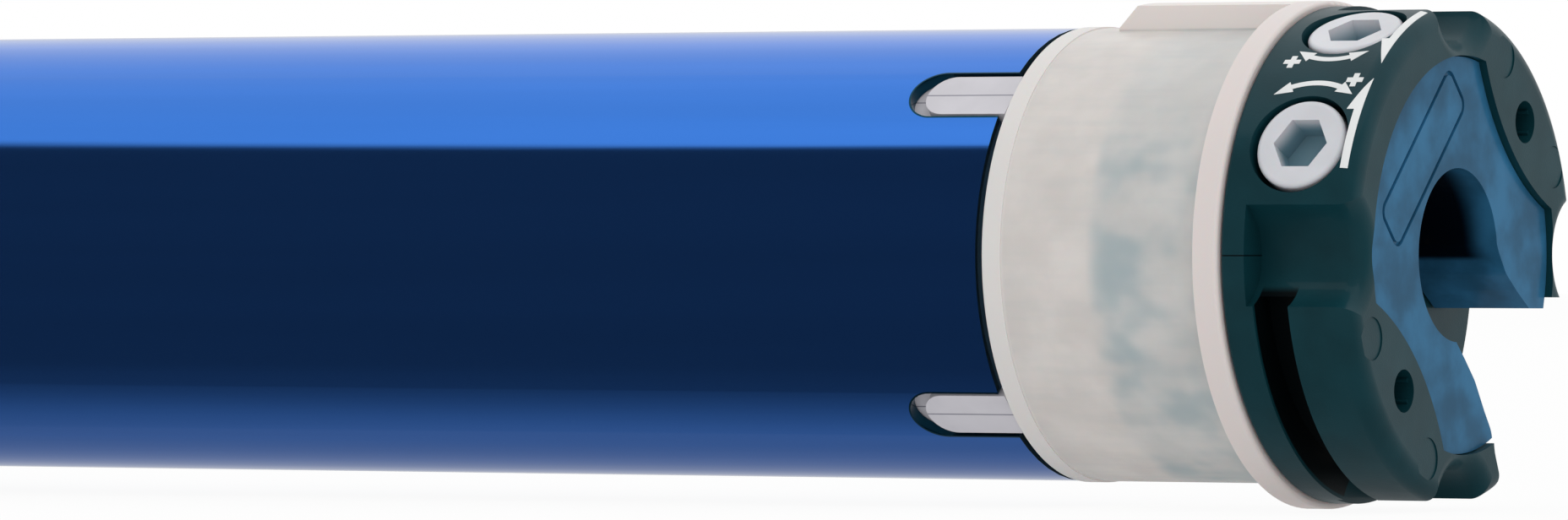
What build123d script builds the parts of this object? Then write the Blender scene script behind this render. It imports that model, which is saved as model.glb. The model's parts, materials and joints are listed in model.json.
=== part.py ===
from build123d import *
import math
import os

os.makedirs("parts", exist_ok=True)

# The motor lies along X. The head's front face is at X = 0 and looks along +X, and the tube runs to -X.
# All sizes are in millimetres and all angles are in degrees, from +Y towards +Z.

# Fits and clearances
run_fit = 0.05
seat_fit = 0.1
face_gap = 0.3
side_gap = 0.5
overrun = 2.0

# Tube and the slots in its front end
tube_r = 22.5
tube_wall = 1.2
tube_bore_r = tube_r - tube_wall
inner_r = tube_bore_r - seat_fit
key_slot_width = 6.0
key_slot_depth = 10.8
key_slot_count = 4
key_slot_angle = 45

# Crown that turns on the head's neck
crown_r = 22.5
crown_length = 27.1
crown_bore_r = 20.0
crown_lip_width = 2.0
crown_lip_height = 0.12
flange_r = 24.95
flange_width = 2.6
flange_edge_r = 0.4
crown_key_width = 8.6
crown_key_length = 16.8
crown_key_slope = 2.4
crown_key_edge_r = 1.2
crown_key_angle = 90
ring_gear_front = 16.9
ring_gear_width = 6.4

# Head: front housing and the plate with the neck behind it
head_r = 24.4
housing_depth = 11.5
plate_width = 2.55
neck_length = 15.45
head_edge_r = 1.9
band_edge_r = 0.35
notch_centre_r = 25.9
notch_r = 5.3
notch_count = 4
bracket_slot_width = 3.8
bracket_slot_lip = 0.7
bracket_slot_floor_r = 20.9
bracket_slot_ends = (190, 262)
face_screw_pcd = 37.0
face_screw_r = 2.1
face_screw_depth = 9.0
face_screw_count = 2
face_screw_angle = 45
ejector_mark_r = 2.1
ejector_mark_depth = 0.12
ejector_mark_centre_r = 21.3
ejector_mark_angles = (24, 66, 202, 248)

# Centre opening, which runs out to the rim, and the blue insert that lines it
opening_r = 8.5
lining_wall = 1.0
lining_depth = 11.2
insert_r = 19.5
insert_thickness = 1.3
insert_sink = 0.75
boss_bulge_r = 26.0
boss_bulge_reach = 14.55
frame_length = 20.6
frame_width = 5.5
frame_corner_r = 1.4
frame_groove = 0.45
frame_groove_depth = 0.3
frame_centre_r = 11.95
frame_centre_v = -1.2
opening_corner_r = 2.5

# Inlet at the bottom of the opening
socket_depth = 11.0
socket_recess_r = 7.4
socket_recess_depth = 6.0
socket_front = 12.8
pin_r = 0.8
pin_length = 10.0
pin_circle_r = 3.6
pin_count = 4
pin_start_angle = 45
pin_tip_chamfer = 0.25
wire_hole_r = 4.0
wire_hole_u = -4.0

# The limit switch unit is symmetric about this direction: u runs along it, v across it
mech_angle = 134
gear_module = 0.6
pressure_angle = 20
crown_teeth = 64
pickup_teeth = 12
spindle_teeth = 12
nut_teeth = 12
long_pinion_teeth = 8
wheel_teeth = 10
spindle_v = 4.6

# Adjusters: a hex-socket button with a worm below it
adjuster_half_angle = 19.25
adjuster_depth = 6.9
button_r = 4.7
button_gap = 0.5
button_sink = 0.35
button_height = 4.15
button_floor = 0.75
button_top_r = head_r - button_sink
button_seat_r = button_top_r - button_height
button_edge_r = 0.5
hex_across_flats = 5.0
hex_depth = button_height - button_floor
adjuster_journal_r = 2.6
adjuster_journal_length = 1.3
worm_pitch_r = 2.0
worm_thread_width = 0.55
worm_thread_sink = 0.3
worm_bottom_r = 12.9
worm_tip_journal_r = 1.2
worm_tip_journal_length = 1.6
wheel_width = 1.6

# Limit switch chassis and what runs in it
spigot_r = 17.8
chassis_wall = 3.4
collar_wall = 1.1
collar_length = 8.0
key_width = 5.2
key_inset = 0.3
key_end_gap = 1.6
rail_wall = 1.9
rail_u = -7.0
floor_u = -11.8
floor_thickness = 2.0
unit_length = 58.4
rear_plate_width = 3.0
shaft_r = 1.2
spindle_journal_r = 1.0
spindle_r = 1.6
spindle_gear_width = 4.0
rod_r = 1.0
rod_u = 3.0
journal_depth = 2.4
nut_width = 5.0
carriage_wall = 1.5
carriage_half_width = 2.4
carriage_bottom_u = 0.7
carriage_top_u = 5.4
cheek_r = 2.6
chassis_screw_r = 1.25
chassis_screw_head_r = 2.5
chassis_screw_head_height = 1.8
chassis_screw_length = 36.0
chassis_screw_u = -4.0
chassis_screw_v = 13.2
screw_slot_width = 0.6
screw_slot_corner_r = 0.25

# Microswitches under the carriages
switch_length = 19.8
switch_width = 6.4
switch_height = 10.0
switch_top_u = -1.5
switch_end_gap = 1.2
rear_switch_gap = 0.3
plunger_r = 1.0
plunger_height = 1.6
plunger_inset = 3.6
plunger_depth = 2.4
plunger_spare_depth = 1.0
plunger_edge_r = 0.33
tab_thickness = 0.6
tab_width = 3.2
tab_length = 3.6
tab_spacing = 6.4
tab_count = 3

# Wires, terminal board and run capacitor
wire_r = 0.6
wire_spacing = 2.1
wire_count = 3
board_gap = 1.6
board_r = inner_r - board_gap
board_thickness = 1.6
capacitor_side_gap = 5.2
capacitor_r = inner_r - capacitor_side_gap
capacitor_length = 50.0
capacitor_edge_r = 2.0
capacitor_front_gap = 8.0
cradle_ring_width = 6.0
cradle_rib_width = 5.0
cradle_rib_count = 4
cradle_overlap = 4.0
motor_gap = 11.0
motor_wire_gap = 2.5
motor_wire_r = inner_r - motor_wire_gap

# Motor
shield_wall = 3.5
shield_rim = 7.5
shield_rim_wall = 1.5
shield_hub_r = 7.0
shield_hub_length = 10.0
bush_wall = 2.0
motor_shaft_r = 3.0
shaft_end_chamfer = 0.4
stator_length = 65.0
stator_bore_r = 0.58 * inner_r
stator_tooth_tip = 1.1
stator_yoke = 2.6
stator_slot_count = 16
stator_slot_inner_r = stator_bore_r + stator_tooth_tip
stator_slot_outer_r = inner_r - stator_yoke
stator_slot_inner_width = 0.195 * stator_slot_inner_r
stator_slot_outer_width = 0.225 * stator_slot_outer_r
stator_slot_mouth = 1.2
winding_gap = 0.25
winding_overhang = 6.2
winding_bore_gap = 0.7
winding_case_gap = 2.2
winding_inner_r = stator_bore_r + winding_bore_gap
winding_outer_r = inner_r - winding_case_gap
winding_edge_r = 1.5
air_gap = 0.3
rotor_end_ring_width = 3.0
rotor_end_ring_wall = 3.4
rotor_blade_count = 8
rotor_blade_width = 1.0
rotor_blade_height = 1.6
shaft_front_stub = 4.0

# Brake
pillar_r = 1.5
pillar_wall_gap = 2.8
pillar_circle_r = inner_r - pillar_wall_gap
pillar_count = 3
pillar_angle = 90
brake_flange_gap = 0.4
brake_flange_r = inner_r - brake_flange_gap
brake_flange_width = 3.0
brake_pot_gap = 4.8
brake_pot_r = inner_r - brake_pot_gap
brake_pot_length = 10.0
brake_pot_wall = 2.4
coil_inner_r = 0.61 * brake_pot_r
coil_outer_r = brake_pot_r - brake_pot_wall
coil_depth = 8.0
coil_gap = 0.2
spring_wire_r = 0.5
spring_r = 0.6 * coil_inner_r
spring_turns = 5
spring_pitch = 1.5
spring_pocket_depth = 8.6
shaft_clearance = 0.8
armature_width = 3.0
armature_travel = 0.4
armature_gap = 0.1
brake_disc_inset = 0.9
brake_disc_r = brake_pot_r - brake_disc_inset
brake_disc_width = 4.0

# Planetary gearbox, three like stages in one ring gear
stage_module = 0.04 * inner_r
sun_teeth = 12
planet_teeth = 15
ring_teeth = 42
planet_count = 3
stage_widths = (9.0, 10.0, 12.5)
carrier_width = 3.2
planet_end_gap = 0.6
planet_pin_r = 2.6 * stage_module
carrier_r = 19.1 * stage_module
gear_backlash = 0.07
gearbox_plate_width = 3.0

# Output end
end_cap_length = 20.0
end_cap_flange = 3.0
end_cap_edge_r = 0.6
output_bush_wall = 2.0
output_shaft_r = 7.0
output_flat_r = 5.6
output_shaft_stub = 29.0
wheel_front_gap = 5.0
wheel_over_tube = 0.9
drive_wheel_r = tube_r + wheel_over_tube
drive_wheel_width = 18.0
drive_wheel_rim = 2.6
drive_wheel_hub_r = 11.0
drive_wheel_rib_count = 6
drive_wheel_rib_width = 2.4
drive_wheel_web = 3.0
drive_wheel_groove_depth = 1.5
drive_wheel_groove_count = 2
clip_r = 9.4
clip_width = 1.2
clip_groove_r = 6.0
clip_gap_width = 9.0
clip_distance = 0.6
tube_screw_r = 1.3
tube_screw_head_r = 2.6
tube_screw_length = 6.0
tube_screw_inset = 9.0
tube_screw_slot = 0.7
tube_screw_count = 4

# Outline of the opening outside its round part, from the upper edge round to the lower one
opening_upper_shares = ((0.33, 0.07), (0.365, 0.008), (0.426, -0.074), (0.52, -0.143), (0.635, -0.217))
opening_rim_shares = ((0.635, -0.217), (1.1, -0.221), (1.1, -1.1), (0.365, -1.1), (0.365, -0.902))
opening_lower_shares = (
    (0.365, -0.902),
    (0.307, -0.775),
    (0.299, -0.713),
    (0.23, -0.623),
    (0.148, -0.504),
    (0.057, -0.414),
    (-0.012, -0.352),
)

# Places along X, worked out from the sizes
plate_x = -housing_depth
head_back_x = plate_x - plate_width
neck_back_x = head_back_x - neck_length
crown_front_x = head_back_x - face_gap / 2
crown_back_x = crown_front_x - crown_length
ring_front_x = crown_front_x - ring_gear_front
ring_back_x = ring_front_x - ring_gear_width
shoulder_front_x = ring_back_x - face_gap
wall_front_x = crown_back_x - face_gap
wall_back_x = wall_front_x - chassis_wall
collar_back_x = wall_back_x - collar_length
tube_front_x = wall_front_x - side_gap
unit_back_x = wall_back_x - unit_length + chassis_wall
rear_plate_back_x = unit_back_x - rear_plate_width
board_back_x = rear_plate_back_x - board_thickness
capacitor_front_x = board_back_x - capacitor_front_gap
capacitor_back_x = capacitor_front_x - capacitor_length
shield_front_x = capacitor_back_x - motor_gap
stator_front_x = shield_front_x - shield_wall - shield_rim
stator_back_x = stator_front_x - stator_length
shield_back_x = stator_back_x - shield_rim - shield_wall
brake_flange_x = shield_back_x - shield_hub_length / 2
brake_pot_x = brake_flange_x - brake_flange_width
brake_face_x = brake_pot_x - brake_pot_length
armature_x = brake_face_x - armature_travel - armature_gap
brake_disc_x = armature_x - armature_width - armature_gap
gearbox_plate_x = brake_disc_x - brake_disc_width - armature_gap
gearbox_x = gearbox_plate_x - gearbox_plate_width

# Gear sizes
crown_pitch_r = gear_module * crown_teeth / 2
pickup_pitch_r = gear_module * pickup_teeth / 2
spindle_pitch_r = gear_module * spindle_teeth / 2
nut_pitch_r = gear_module * nut_teeth / 2
long_pinion_pitch_r = gear_module * long_pinion_teeth / 2
wheel_pitch_r = gear_module * wheel_teeth / 2
tip_share = 0.9
root_share = 1.25
gear_tip = tip_share * gear_module
gear_root = root_share * gear_module
worm_pitch = math.pi * gear_module

# Places across the axis, in u and v
pickup_u = crown_pitch_r - pickup_pitch_r
spindle_u = pickup_u - math.sqrt((pickup_pitch_r + spindle_pitch_r) ** 2 - spindle_v**2)
worm_distance = worm_pitch_r + wheel_pitch_r
worm_dir = (math.cos(math.radians(adjuster_half_angle)), math.sin(math.radians(adjuster_half_angle)))
nut_distance = nut_pitch_r + long_pinion_pitch_r
along = worm_dir[0] * spindle_u + worm_dir[1] * spindle_v
across = worm_dir[0] * spindle_v - worm_dir[1] * spindle_u
worm_contact_r = along + math.sqrt(nut_distance**2 - (worm_distance - across) ** 2)
long_u = worm_dir[0] * worm_contact_r - worm_dir[1] * worm_distance
long_v = worm_dir[1] * worm_contact_r + worm_dir[0] * worm_distance
nut_travel_front_x = wall_back_x - spindle_gear_width - 2 * face_gap
nut_centre_x = (nut_travel_front_x + unit_back_x) / 2
carriage_half_length = nut_width / 2 + face_gap + carriage_wall


def yz(x):
    """Plane square to the motor's axis at x: Y to the right and Z up, seen from +X."""
    return Plane.YZ.offset(x)


def uv(x):
    """Plane square to the axis at x, whose own x runs along the limit unit's direction of symmetry."""
    turn = math.radians(mech_angle)
    return Plane(origin=(x, 0, 0), x_dir=(0, math.cos(turn), math.sin(turn)), z_dir=(1, 0, 0))


def radial(angle, x=0):
    """Plane through the axis that looks outwards at the angle. Its own x is along X, its own y against v."""
    turn = math.radians(angle)
    return Plane(origin=(x, 0, 0), x_dir=(1, 0, 0), z_dir=(0, math.cos(turn), math.sin(turn)))


def gear_points(teeth, module, tip, root, backlash, phase):
    """Outline of an involute gear whose first tooth is centred at the angle phase."""
    pitch_r = module * teeth / 2
    pressure = math.radians(pressure_angle)
    base_r = pitch_r * math.cos(pressure)
    half_tooth = math.pi / (2 * teeth) - backlash / pitch_r
    flank_steps = 3

    def half_angle(r):
        if r <= base_r:
            return half_tooth + math.tan(pressure) - pressure
        at = math.acos(base_r / r)
        return half_tooth + math.tan(pressure) - pressure - math.tan(at) + at

    root_r, tip_r = pitch_r - root, pitch_r + tip
    start_r = max(root_r, base_r)
    flank = [root_r] if start_r > root_r else []
    flank += [start_r + (tip_r - start_r) * step / flank_steps for step in range(flank_steps + 1)]
    points = []
    for tooth in range(teeth):
        centre = math.radians(phase) + 2 * math.pi * tooth / teeth
        side = [(r, centre - half_angle(r)) for r in flank]
        side += [(r, centre + half_angle(r)) for r in reversed(flank)]
        points += [(r * math.cos(a), r * math.sin(a)) for r, a in side]
    return points


def gear_sketch(plane, centre, teeth, module, phase, backlash=0.0, inside=False):
    """Sketch of a gear's outline. An inside outline is the space that an internal gear's teeth leave."""
    tip, root = tip_share * module, root_share * module
    if inside:
        tip, root, backlash = root, tip, -backlash
    with BuildSketch(plane) as outline:
        with Locations(centre):
            Polygon(*gear_points(teeth, module, tip, root, backlash, phase), align=None)
    return outline.sketch


def mesh_phase(direction, teeth_a, phase_a, teeth_b):
    """Phase of gear b that meshes with gear a, where b lies from a in this direction."""
    return direction + 180 + ((direction - phase_a) * teeth_a + 180) / teeth_b


def opening_sketch(x, grow):
    """The head's centre opening with its way out to the rim, grown by this much all round."""
    upper = [(head_r * y, head_r * z) for y, z in opening_upper_shares]
    rim = [(head_r * y, head_r * z) for y, z in opening_rim_shares]
    lower = [(head_r * y, head_r * z) for y, z in opening_lower_shares]
    with BuildSketch(yz(x)) as region:
        with BuildLine():
            FilletPolyline(*upper, radius=opening_corner_r)
            Polyline(*rim)
            FilletPolyline(*lower, radius=opening_corner_r)
            Polyline(lower[-1], (0, 0), upper[0])
        make_face()
        Circle(opening_r)
        if grow:
            offset(amount=grow)
    return region.sketch


def insert_sketch(x, shrink):
    """Outline of the face insert: a disc cut in by the two screw bosses."""
    with BuildSketch(yz(x)) as region:
        Circle(insert_r - shrink)
        with PolarLocations(boss_bulge_reach + boss_bulge_r, face_screw_count, start_angle=face_screw_angle):
            Circle(boss_bulge_r + shrink, mode=Mode.SUBTRACT)
    return region.sketch


def save(piece, name):
    """Labels a finished piece and writes it to its own file."""
    piece.label = name
    export_step(piece, f"parts/{name}.step")


# Motor tube: four slots open to the front end, four screw holes near the back
stage_backs = []
stage_x = gearbox_x - planet_end_gap
for width in stage_widths:
    stage_backs.append(stage_x - width - planet_end_gap - carrier_width)
    stage_x = stage_backs[-1] - planet_end_gap
ring_back = stage_backs[-1] - face_gap
end_cap_x = ring_back
tube_back_x = end_cap_x - end_cap_length
cap_back_x = tube_back_x - end_cap_flange
tube_length = tube_front_x - tube_back_x
tube_screw_x = tube_back_x + tube_screw_inset
key_angles = [key_slot_angle + 360 * n / key_slot_count for n in range(key_slot_count)]
tube_screw_angles = [360 * n / tube_screw_count for n in range(tube_screw_count)]

with BuildPart() as motor_tube:
    with BuildSketch(yz(tube_back_x)):
        Circle(tube_r)
        Circle(tube_bore_r, mode=Mode.SUBTRACT)
    extrude(amount=tube_length)
    for angle in key_angles:
        with BuildSketch(radial(angle, tube_front_x)):
            with Locations((-(key_slot_depth - key_slot_width / 2), 0)):
                Circle(key_slot_width / 2)
                Rectangle(key_slot_depth + overrun, key_slot_width, align=(Align.MIN, Align.CENTER))
        extrude(amount=tube_r + overrun, mode=Mode.SUBTRACT)
    for angle in tube_screw_angles:
        with BuildSketch(radial(angle, tube_screw_x)):
            Circle(tube_screw_head_r + seat_fit)
        extrude(amount=tube_r + overrun, mode=Mode.SUBTRACT)
save(motor_tube.part, "motor_tube")

# Crown: ring, lip, flange and raised key, with the internal ring gear
key_top_front_x = crown_front_x - flange_width - crown_key_length
with BuildPart() as crown:
    with BuildSketch(yz(crown_back_x)):
        Circle(crown_r)
    extrude(amount=crown_length)
    with BuildSketch(yz(crown_back_x)):
        Circle(crown_r + crown_lip_height)
    extrude(amount=crown_lip_width)
    with BuildSketch(Plane.XZ) as key_profile:
        with BuildLine():
            Polyline(
                (crown_front_x, crown_bore_r),
                (crown_front_x, flange_r),
                (key_top_front_x, flange_r),
                (key_top_front_x - crown_key_slope, crown_r - crown_lip_height),
                (key_top_front_x - crown_key_slope, crown_bore_r),
                close=True,
            )
        make_face()
        fillet(key_profile.vertices().sort_by(Axis.Z)[-2:].sort_by(Axis.X)[0], crown_key_edge_r)
    extrude(amount=crown_key_width / 2, both=True)
    with BuildSketch(yz(crown_back_x)):
        Circle(flange_r)
    extrude(amount=crown_length, mode=Mode.INTERSECT)
    with BuildSketch(yz(crown_front_x)):
        Circle(flange_r)
    extrude(amount=-flange_width)
    fillet(crown.edges().group_by(Axis.X)[-1], flange_edge_r)
    with BuildSketch(yz(crown_front_x)):
        Circle(crown_bore_r)
    extrude(amount=-ring_gear_front, mode=Mode.SUBTRACT)
    with BuildSketch(yz(crown_back_x)):
        Circle(crown_bore_r)
    extrude(amount=ring_back_x - crown_back_x, mode=Mode.SUBTRACT)
    extrude(
        gear_sketch(uv(ring_back_x), (0, 0), crown_teeth, gear_module, 0, gear_backlash, inside=True),
        amount=ring_gear_width,
        mode=Mode.SUBTRACT,
    )
save(crown.part, "crown")

# Head housing: notches, bracket slots, face recess, opening, screw holes, adjuster and worm wheel pockets
adjuster_angles = {"upper": mech_angle - adjuster_half_angle, "lower": mech_angle + adjuster_half_angle}
sides = {"upper": -1, "lower": 1}
wheel_pocket_r = wheel_pitch_r + gear_tip + face_gap
wheel_front_x = -adjuster_depth + wheel_width / 2
worm_tip_r = worm_pitch_r + gear_tip
worm_core_r = worm_pitch_r - gear_root
low_end, high_end = bracket_slot_ends
bracket_slots = (bracket_slot_ends, (2 * mech_angle - high_end, 2 * mech_angle - low_end))
with BuildPart() as head_housing:
    with BuildSketch(yz(plate_x)):
        Circle(head_r)
    extrude(amount=housing_depth)
    with BuildSketch(yz(plate_x)):
        with PolarLocations(notch_centre_r, notch_count):
            Circle(notch_r)
    extrude(amount=housing_depth, mode=Mode.SUBTRACT)
    fillet(head_housing.edges().group_by(Axis.X)[-1], head_edge_r)
    for start, end in bracket_slots:
        with BuildSketch(yz(plate_x + bracket_slot_lip)):
            with BuildLine():
                CenterArc((0, 0), head_r + overrun, start, end - start)
                CenterArc((0, 0), bracket_slot_floor_r, start, end - start)
                for angle in (start, end):
                    Line(
                        PolarLine((0, 0), bracket_slot_floor_r, angle, mode=Mode.PRIVATE) @ 1,
                        PolarLine((0, 0), head_r + overrun, angle, mode=Mode.PRIVATE) @ 1,
                    )
            make_face()
        extrude(amount=bracket_slot_width, mode=Mode.SUBTRACT)
    extrude(opening_sketch(plate_x, lining_wall + seat_fit), amount=housing_depth, mode=Mode.SUBTRACT)
    extrude(insert_sketch(0, 0), amount=-(insert_sink + insert_thickness), mode=Mode.SUBTRACT)
    with BuildSketch(yz(0)):
        with PolarLocations(face_screw_pcd / 2, face_screw_count, start_angle=face_screw_angle):
            Circle(face_screw_r)
    extrude(amount=-face_screw_depth, mode=Mode.SUBTRACT)
    with BuildSketch(yz(0)):
        for angle in ejector_mark_angles:
            with PolarLocations(ejector_mark_centre_r, 1, start_angle=angle):
                Circle(ejector_mark_r)
    extrude(amount=-ejector_mark_depth, mode=Mode.SUBTRACT)
    for name, angle in adjuster_angles.items():
        cuts = (
            (button_r + button_gap, button_seat_r, head_r + overrun),
            (adjuster_journal_r + run_fit, button_seat_r - adjuster_journal_length, button_seat_r),
            (worm_tip_r + face_gap, worm_bottom_r - face_gap, button_seat_r - adjuster_journal_length),
            (worm_tip_journal_r + run_fit, worm_bottom_r - worm_tip_journal_length - face_gap, worm_bottom_r),
        )
        for r, low, high in cuts:
            with BuildSketch(radial(angle, -adjuster_depth).offset(low)):
                Circle(r)
            extrude(amount=high - low, mode=Mode.SUBTRACT)
        with BuildSketch(uv(plate_x)):
            with Locations((long_u, sides[name] * long_v)):
                Circle(wheel_pocket_r)
        extrude(amount=wheel_front_x + face_gap - plate_x, mode=Mode.SUBTRACT)
        with BuildSketch(uv(plate_x)):
            with Locations((long_u, sides[name] * long_v)):
                Circle(shaft_r + run_fit)
        extrude(amount=wheel_front_x + journal_depth - plate_x, mode=Mode.SUBTRACT)
        with BuildSketch(uv(plate_x)):
            with Locations((chassis_screw_u, sides[name] * chassis_screw_v)):
                Circle(chassis_screw_r + run_fit)
        extrude(amount=wall_back_x + chassis_screw_length + face_gap - plate_x, mode=Mode.SUBTRACT)
save(head_housing.part, "head_housing")

# Plate behind the housing, with the neck that the crown turns on and the bore that holds the inlet
socket_back_x = -socket_front - socket_depth
socket_r = opening_r + lining_wall
with BuildPart() as neck_plate:
    with BuildSketch(yz(head_back_x)):
        Circle(head_r)
    extrude(amount=plate_width)
    fillet(neck_plate.edges().group_by(Axis.X)[0], band_edge_r)
    with BuildSketch(yz(neck_back_x)):
        Circle(crown_bore_r - run_fit)
    extrude(amount=neck_length)
    with BuildSketch(yz(socket_back_x)):
        Circle(socket_r + seat_fit)
    extrude(amount=plate_x - socket_back_x, mode=Mode.SUBTRACT)
    with BuildSketch(uv(neck_back_x)):
        with Locations((wire_hole_u, 0)):
            Circle(wire_hole_r)
    extrude(amount=socket_back_x - neck_back_x, mode=Mode.SUBTRACT)
    with BuildSketch(uv(neck_back_x)):
        with Locations((pickup_u, 0)):
            Circle(shaft_r + run_fit)
    extrude(amount=journal_depth + face_gap, mode=Mode.SUBTRACT)
    with BuildSketch(uv(neck_back_x)):
        for side in sides.values():
            with Locations((long_u, side * long_v)):
                Circle(shaft_r + run_fit)
            with Locations((chassis_screw_u, side * chassis_screw_v)):
                Circle(chassis_screw_r + seat_fit)
    extrude(amount=neck_length + plate_width, mode=Mode.SUBTRACT)
    for angle in adjuster_angles.values():
        with BuildSketch(radial(angle, -adjuster_depth).offset(button_seat_r)):
            Circle(button_r + button_gap)
        extrude(amount=head_r, mode=Mode.SUBTRACT)
save(neck_plate.part, "neck_plate")

# Face insert: plate with a blank rectangular frame, and the lining that goes down the opening
with BuildPart() as head_insert:
    extrude(insert_sketch(-insert_sink - insert_thickness, seat_fit), amount=insert_thickness)
    extrude(opening_sketch(-lining_depth, lining_wall), amount=lining_depth - insert_sink)
    with BuildSketch(yz(-lining_depth)):
        Circle(insert_r - seat_fit)
    extrude(amount=lining_depth, mode=Mode.INTERSECT)
    extrude(opening_sketch(-lining_depth, 0), amount=lining_depth, mode=Mode.SUBTRACT)
    with BuildSketch(uv(-insert_sink)):
        with Locations((frame_centre_r, frame_centre_v)):
            RectangleRounded(frame_width, frame_length, frame_corner_r)
            inner_width, inner_length = frame_width - 2 * frame_groove, frame_length - 2 * frame_groove
            RectangleRounded(inner_width, inner_length, frame_corner_r - frame_groove, mode=Mode.SUBTRACT)
    extrude(amount=-frame_groove_depth, mode=Mode.SUBTRACT)
save(head_insert.part, "head_insert")

# Inlet socket with its contact pins
with BuildPart() as inlet_socket:
    with BuildSketch(yz(socket_back_x)):
        Circle(socket_r)
    extrude(amount=socket_depth)
    with BuildSketch(yz(-socket_front)):
        Circle(socket_recess_r)
    extrude(amount=-socket_recess_depth, mode=Mode.SUBTRACT)
    with BuildSketch(yz(socket_back_x)):
        with PolarLocations(pin_circle_r, pin_count, start_angle=pin_start_angle):
            Circle(pin_r + run_fit)
    extrude(amount=socket_depth, mode=Mode.SUBTRACT)
save(inlet_socket.part, "inlet_socket")

with BuildPart() as inlet_pins:
    with BuildSketch(yz(socket_back_x)):
        with PolarLocations(pin_circle_r, pin_count, start_angle=pin_start_angle):
            Circle(pin_r)
    extrude(amount=pin_length)
    chamfer(inlet_pins.edges().group_by(Axis.X)[-1], pin_tip_chamfer)
save(inlet_pins.part, "inlet_pins")

# Worm thread on its own axis, the same for both adjusters
thread_turns = math.floor((button_seat_r - adjuster_journal_length - worm_bottom_r) / worm_pitch) - 1
thread_length = thread_turns * worm_pitch
thread_slope = math.tan(math.radians(pressure_angle))
half_top = worm_thread_width / 2 - gear_tip * thread_slope
half_foot = worm_thread_width / 2 + gear_root * thread_slope
thread_reach = gear_tip + gear_root
thread_line = Helix(worm_pitch, thread_length, worm_core_r)
with BuildPart() as worm_thread:
    with BuildSketch(Plane(origin=thread_line @ 0, x_dir=(1, 0, 0), z_dir=thread_line % 0)):
        with BuildLine():
            Polyline(
                (-worm_thread_sink, -half_foot),
                (thread_reach, -half_top),
                (thread_reach, half_top),
                (-worm_thread_sink, half_foot),
                close=True,
            )
        make_face()
    sweep(path=thread_line, is_frenet=True)

# Adjusters: button with hex socket, journal, worm and tip journal
for name, angle in adjuster_angles.items():
    outward = radial(angle, -adjuster_depth)
    # The thread passes the wheel's side of the worm at the wheel's own height
    thread_start = worm_contact_r - thread_length / 2
    turn_to_wheel = -90 * sides[name] - 360 * (worm_contact_r - thread_start) / worm_pitch
    with BuildPart() as adjuster:
        with BuildSketch(outward.offset(button_seat_r)):
            Circle(button_r)
        extrude(amount=button_top_r - button_seat_r)
        fillet(adjuster.edges().filter_by(GeomType.CIRCLE).sort_by(SortBy.DISTANCE)[-1], button_edge_r)
        with BuildSketch(outward.offset(button_top_r)):
            RegularPolygon(hex_across_flats / 2, 6, major_radius=False)
        extrude(amount=-hex_depth, mode=Mode.SUBTRACT)
        with BuildSketch(outward.offset(button_seat_r - adjuster_journal_length)):
            Circle(adjuster_journal_r)
        extrude(amount=adjuster_journal_length)
        with BuildSketch(outward.offset(worm_bottom_r)):
            Circle(worm_core_r)
        extrude(amount=button_seat_r - worm_bottom_r)
        with BuildSketch(outward.offset(worm_bottom_r - worm_tip_journal_length)):
            Circle(worm_tip_journal_r)
        extrude(amount=worm_tip_journal_length)
        add(outward.offset(thread_start).location * Rot(0, 0, turn_to_wheel) * worm_thread.part)
    save(adjuster.part, f"adjuster_{name}")

# Long pinions: worm wheel at the head end, fine teeth along the limit unit, journals at both ends
wheel_direction = math.degrees(math.atan2(-worm_dir[0], worm_dir[1]))
nut_direction = math.degrees(math.atan2(long_v - spindle_v, long_u - spindle_u))
long_teeth_front_x = collar_back_x - side_gap
for name, side in sides.items():
    centre = (long_u, side * long_v)
    wheel_phase = side * wheel_direction + 180 / wheel_teeth
    tooth_phase = mesh_phase(side * nut_direction, nut_teeth, 0, long_pinion_teeth)
    with BuildPart() as long_pinion:
        wheel_plane, teeth_plane = uv(wheel_front_x - wheel_width), uv(unit_back_x + side_gap)
        extrude(
            gear_sketch(wheel_plane, centre, wheel_teeth, gear_module, wheel_phase, 2 * gear_backlash),
            amount=wheel_width,
        )
        extrude(
            gear_sketch(teeth_plane, centre, long_pinion_teeth, gear_module, tooth_phase, gear_backlash),
            amount=long_teeth_front_x - unit_back_x - side_gap,
        )
        with BuildSketch(uv(rear_plate_back_x + seat_fit)):
            with Locations(centre):
                Circle(shaft_r)
        extrude(amount=wheel_front_x + journal_depth - face_gap - rear_plate_back_x - seat_fit)
    save(long_pinion.part, f"long_pinion_{name}")

# Pickup pinion: meshes with the crown's ring gear and drives both spindles
drive_front_x = wall_back_x - face_gap
drive_back_x = drive_front_x - spindle_gear_width
with BuildPart() as pickup_pinion:
    pickup_centre = (pickup_u, 0)
    for back, width in ((ring_back_x, ring_gear_width), (drive_back_x, spindle_gear_width)):
        teeth = gear_sketch(uv(back), pickup_centre, pickup_teeth, gear_module, 0, gear_backlash)
        extrude(teeth, amount=width)
    with BuildSketch(uv(drive_back_x)):
        with Locations(pickup_centre):
            Circle(shaft_r)
    extrude(amount=neck_back_x + journal_depth - drive_back_x)
save(pickup_pinion.part, "pickup_pinion")

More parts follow.
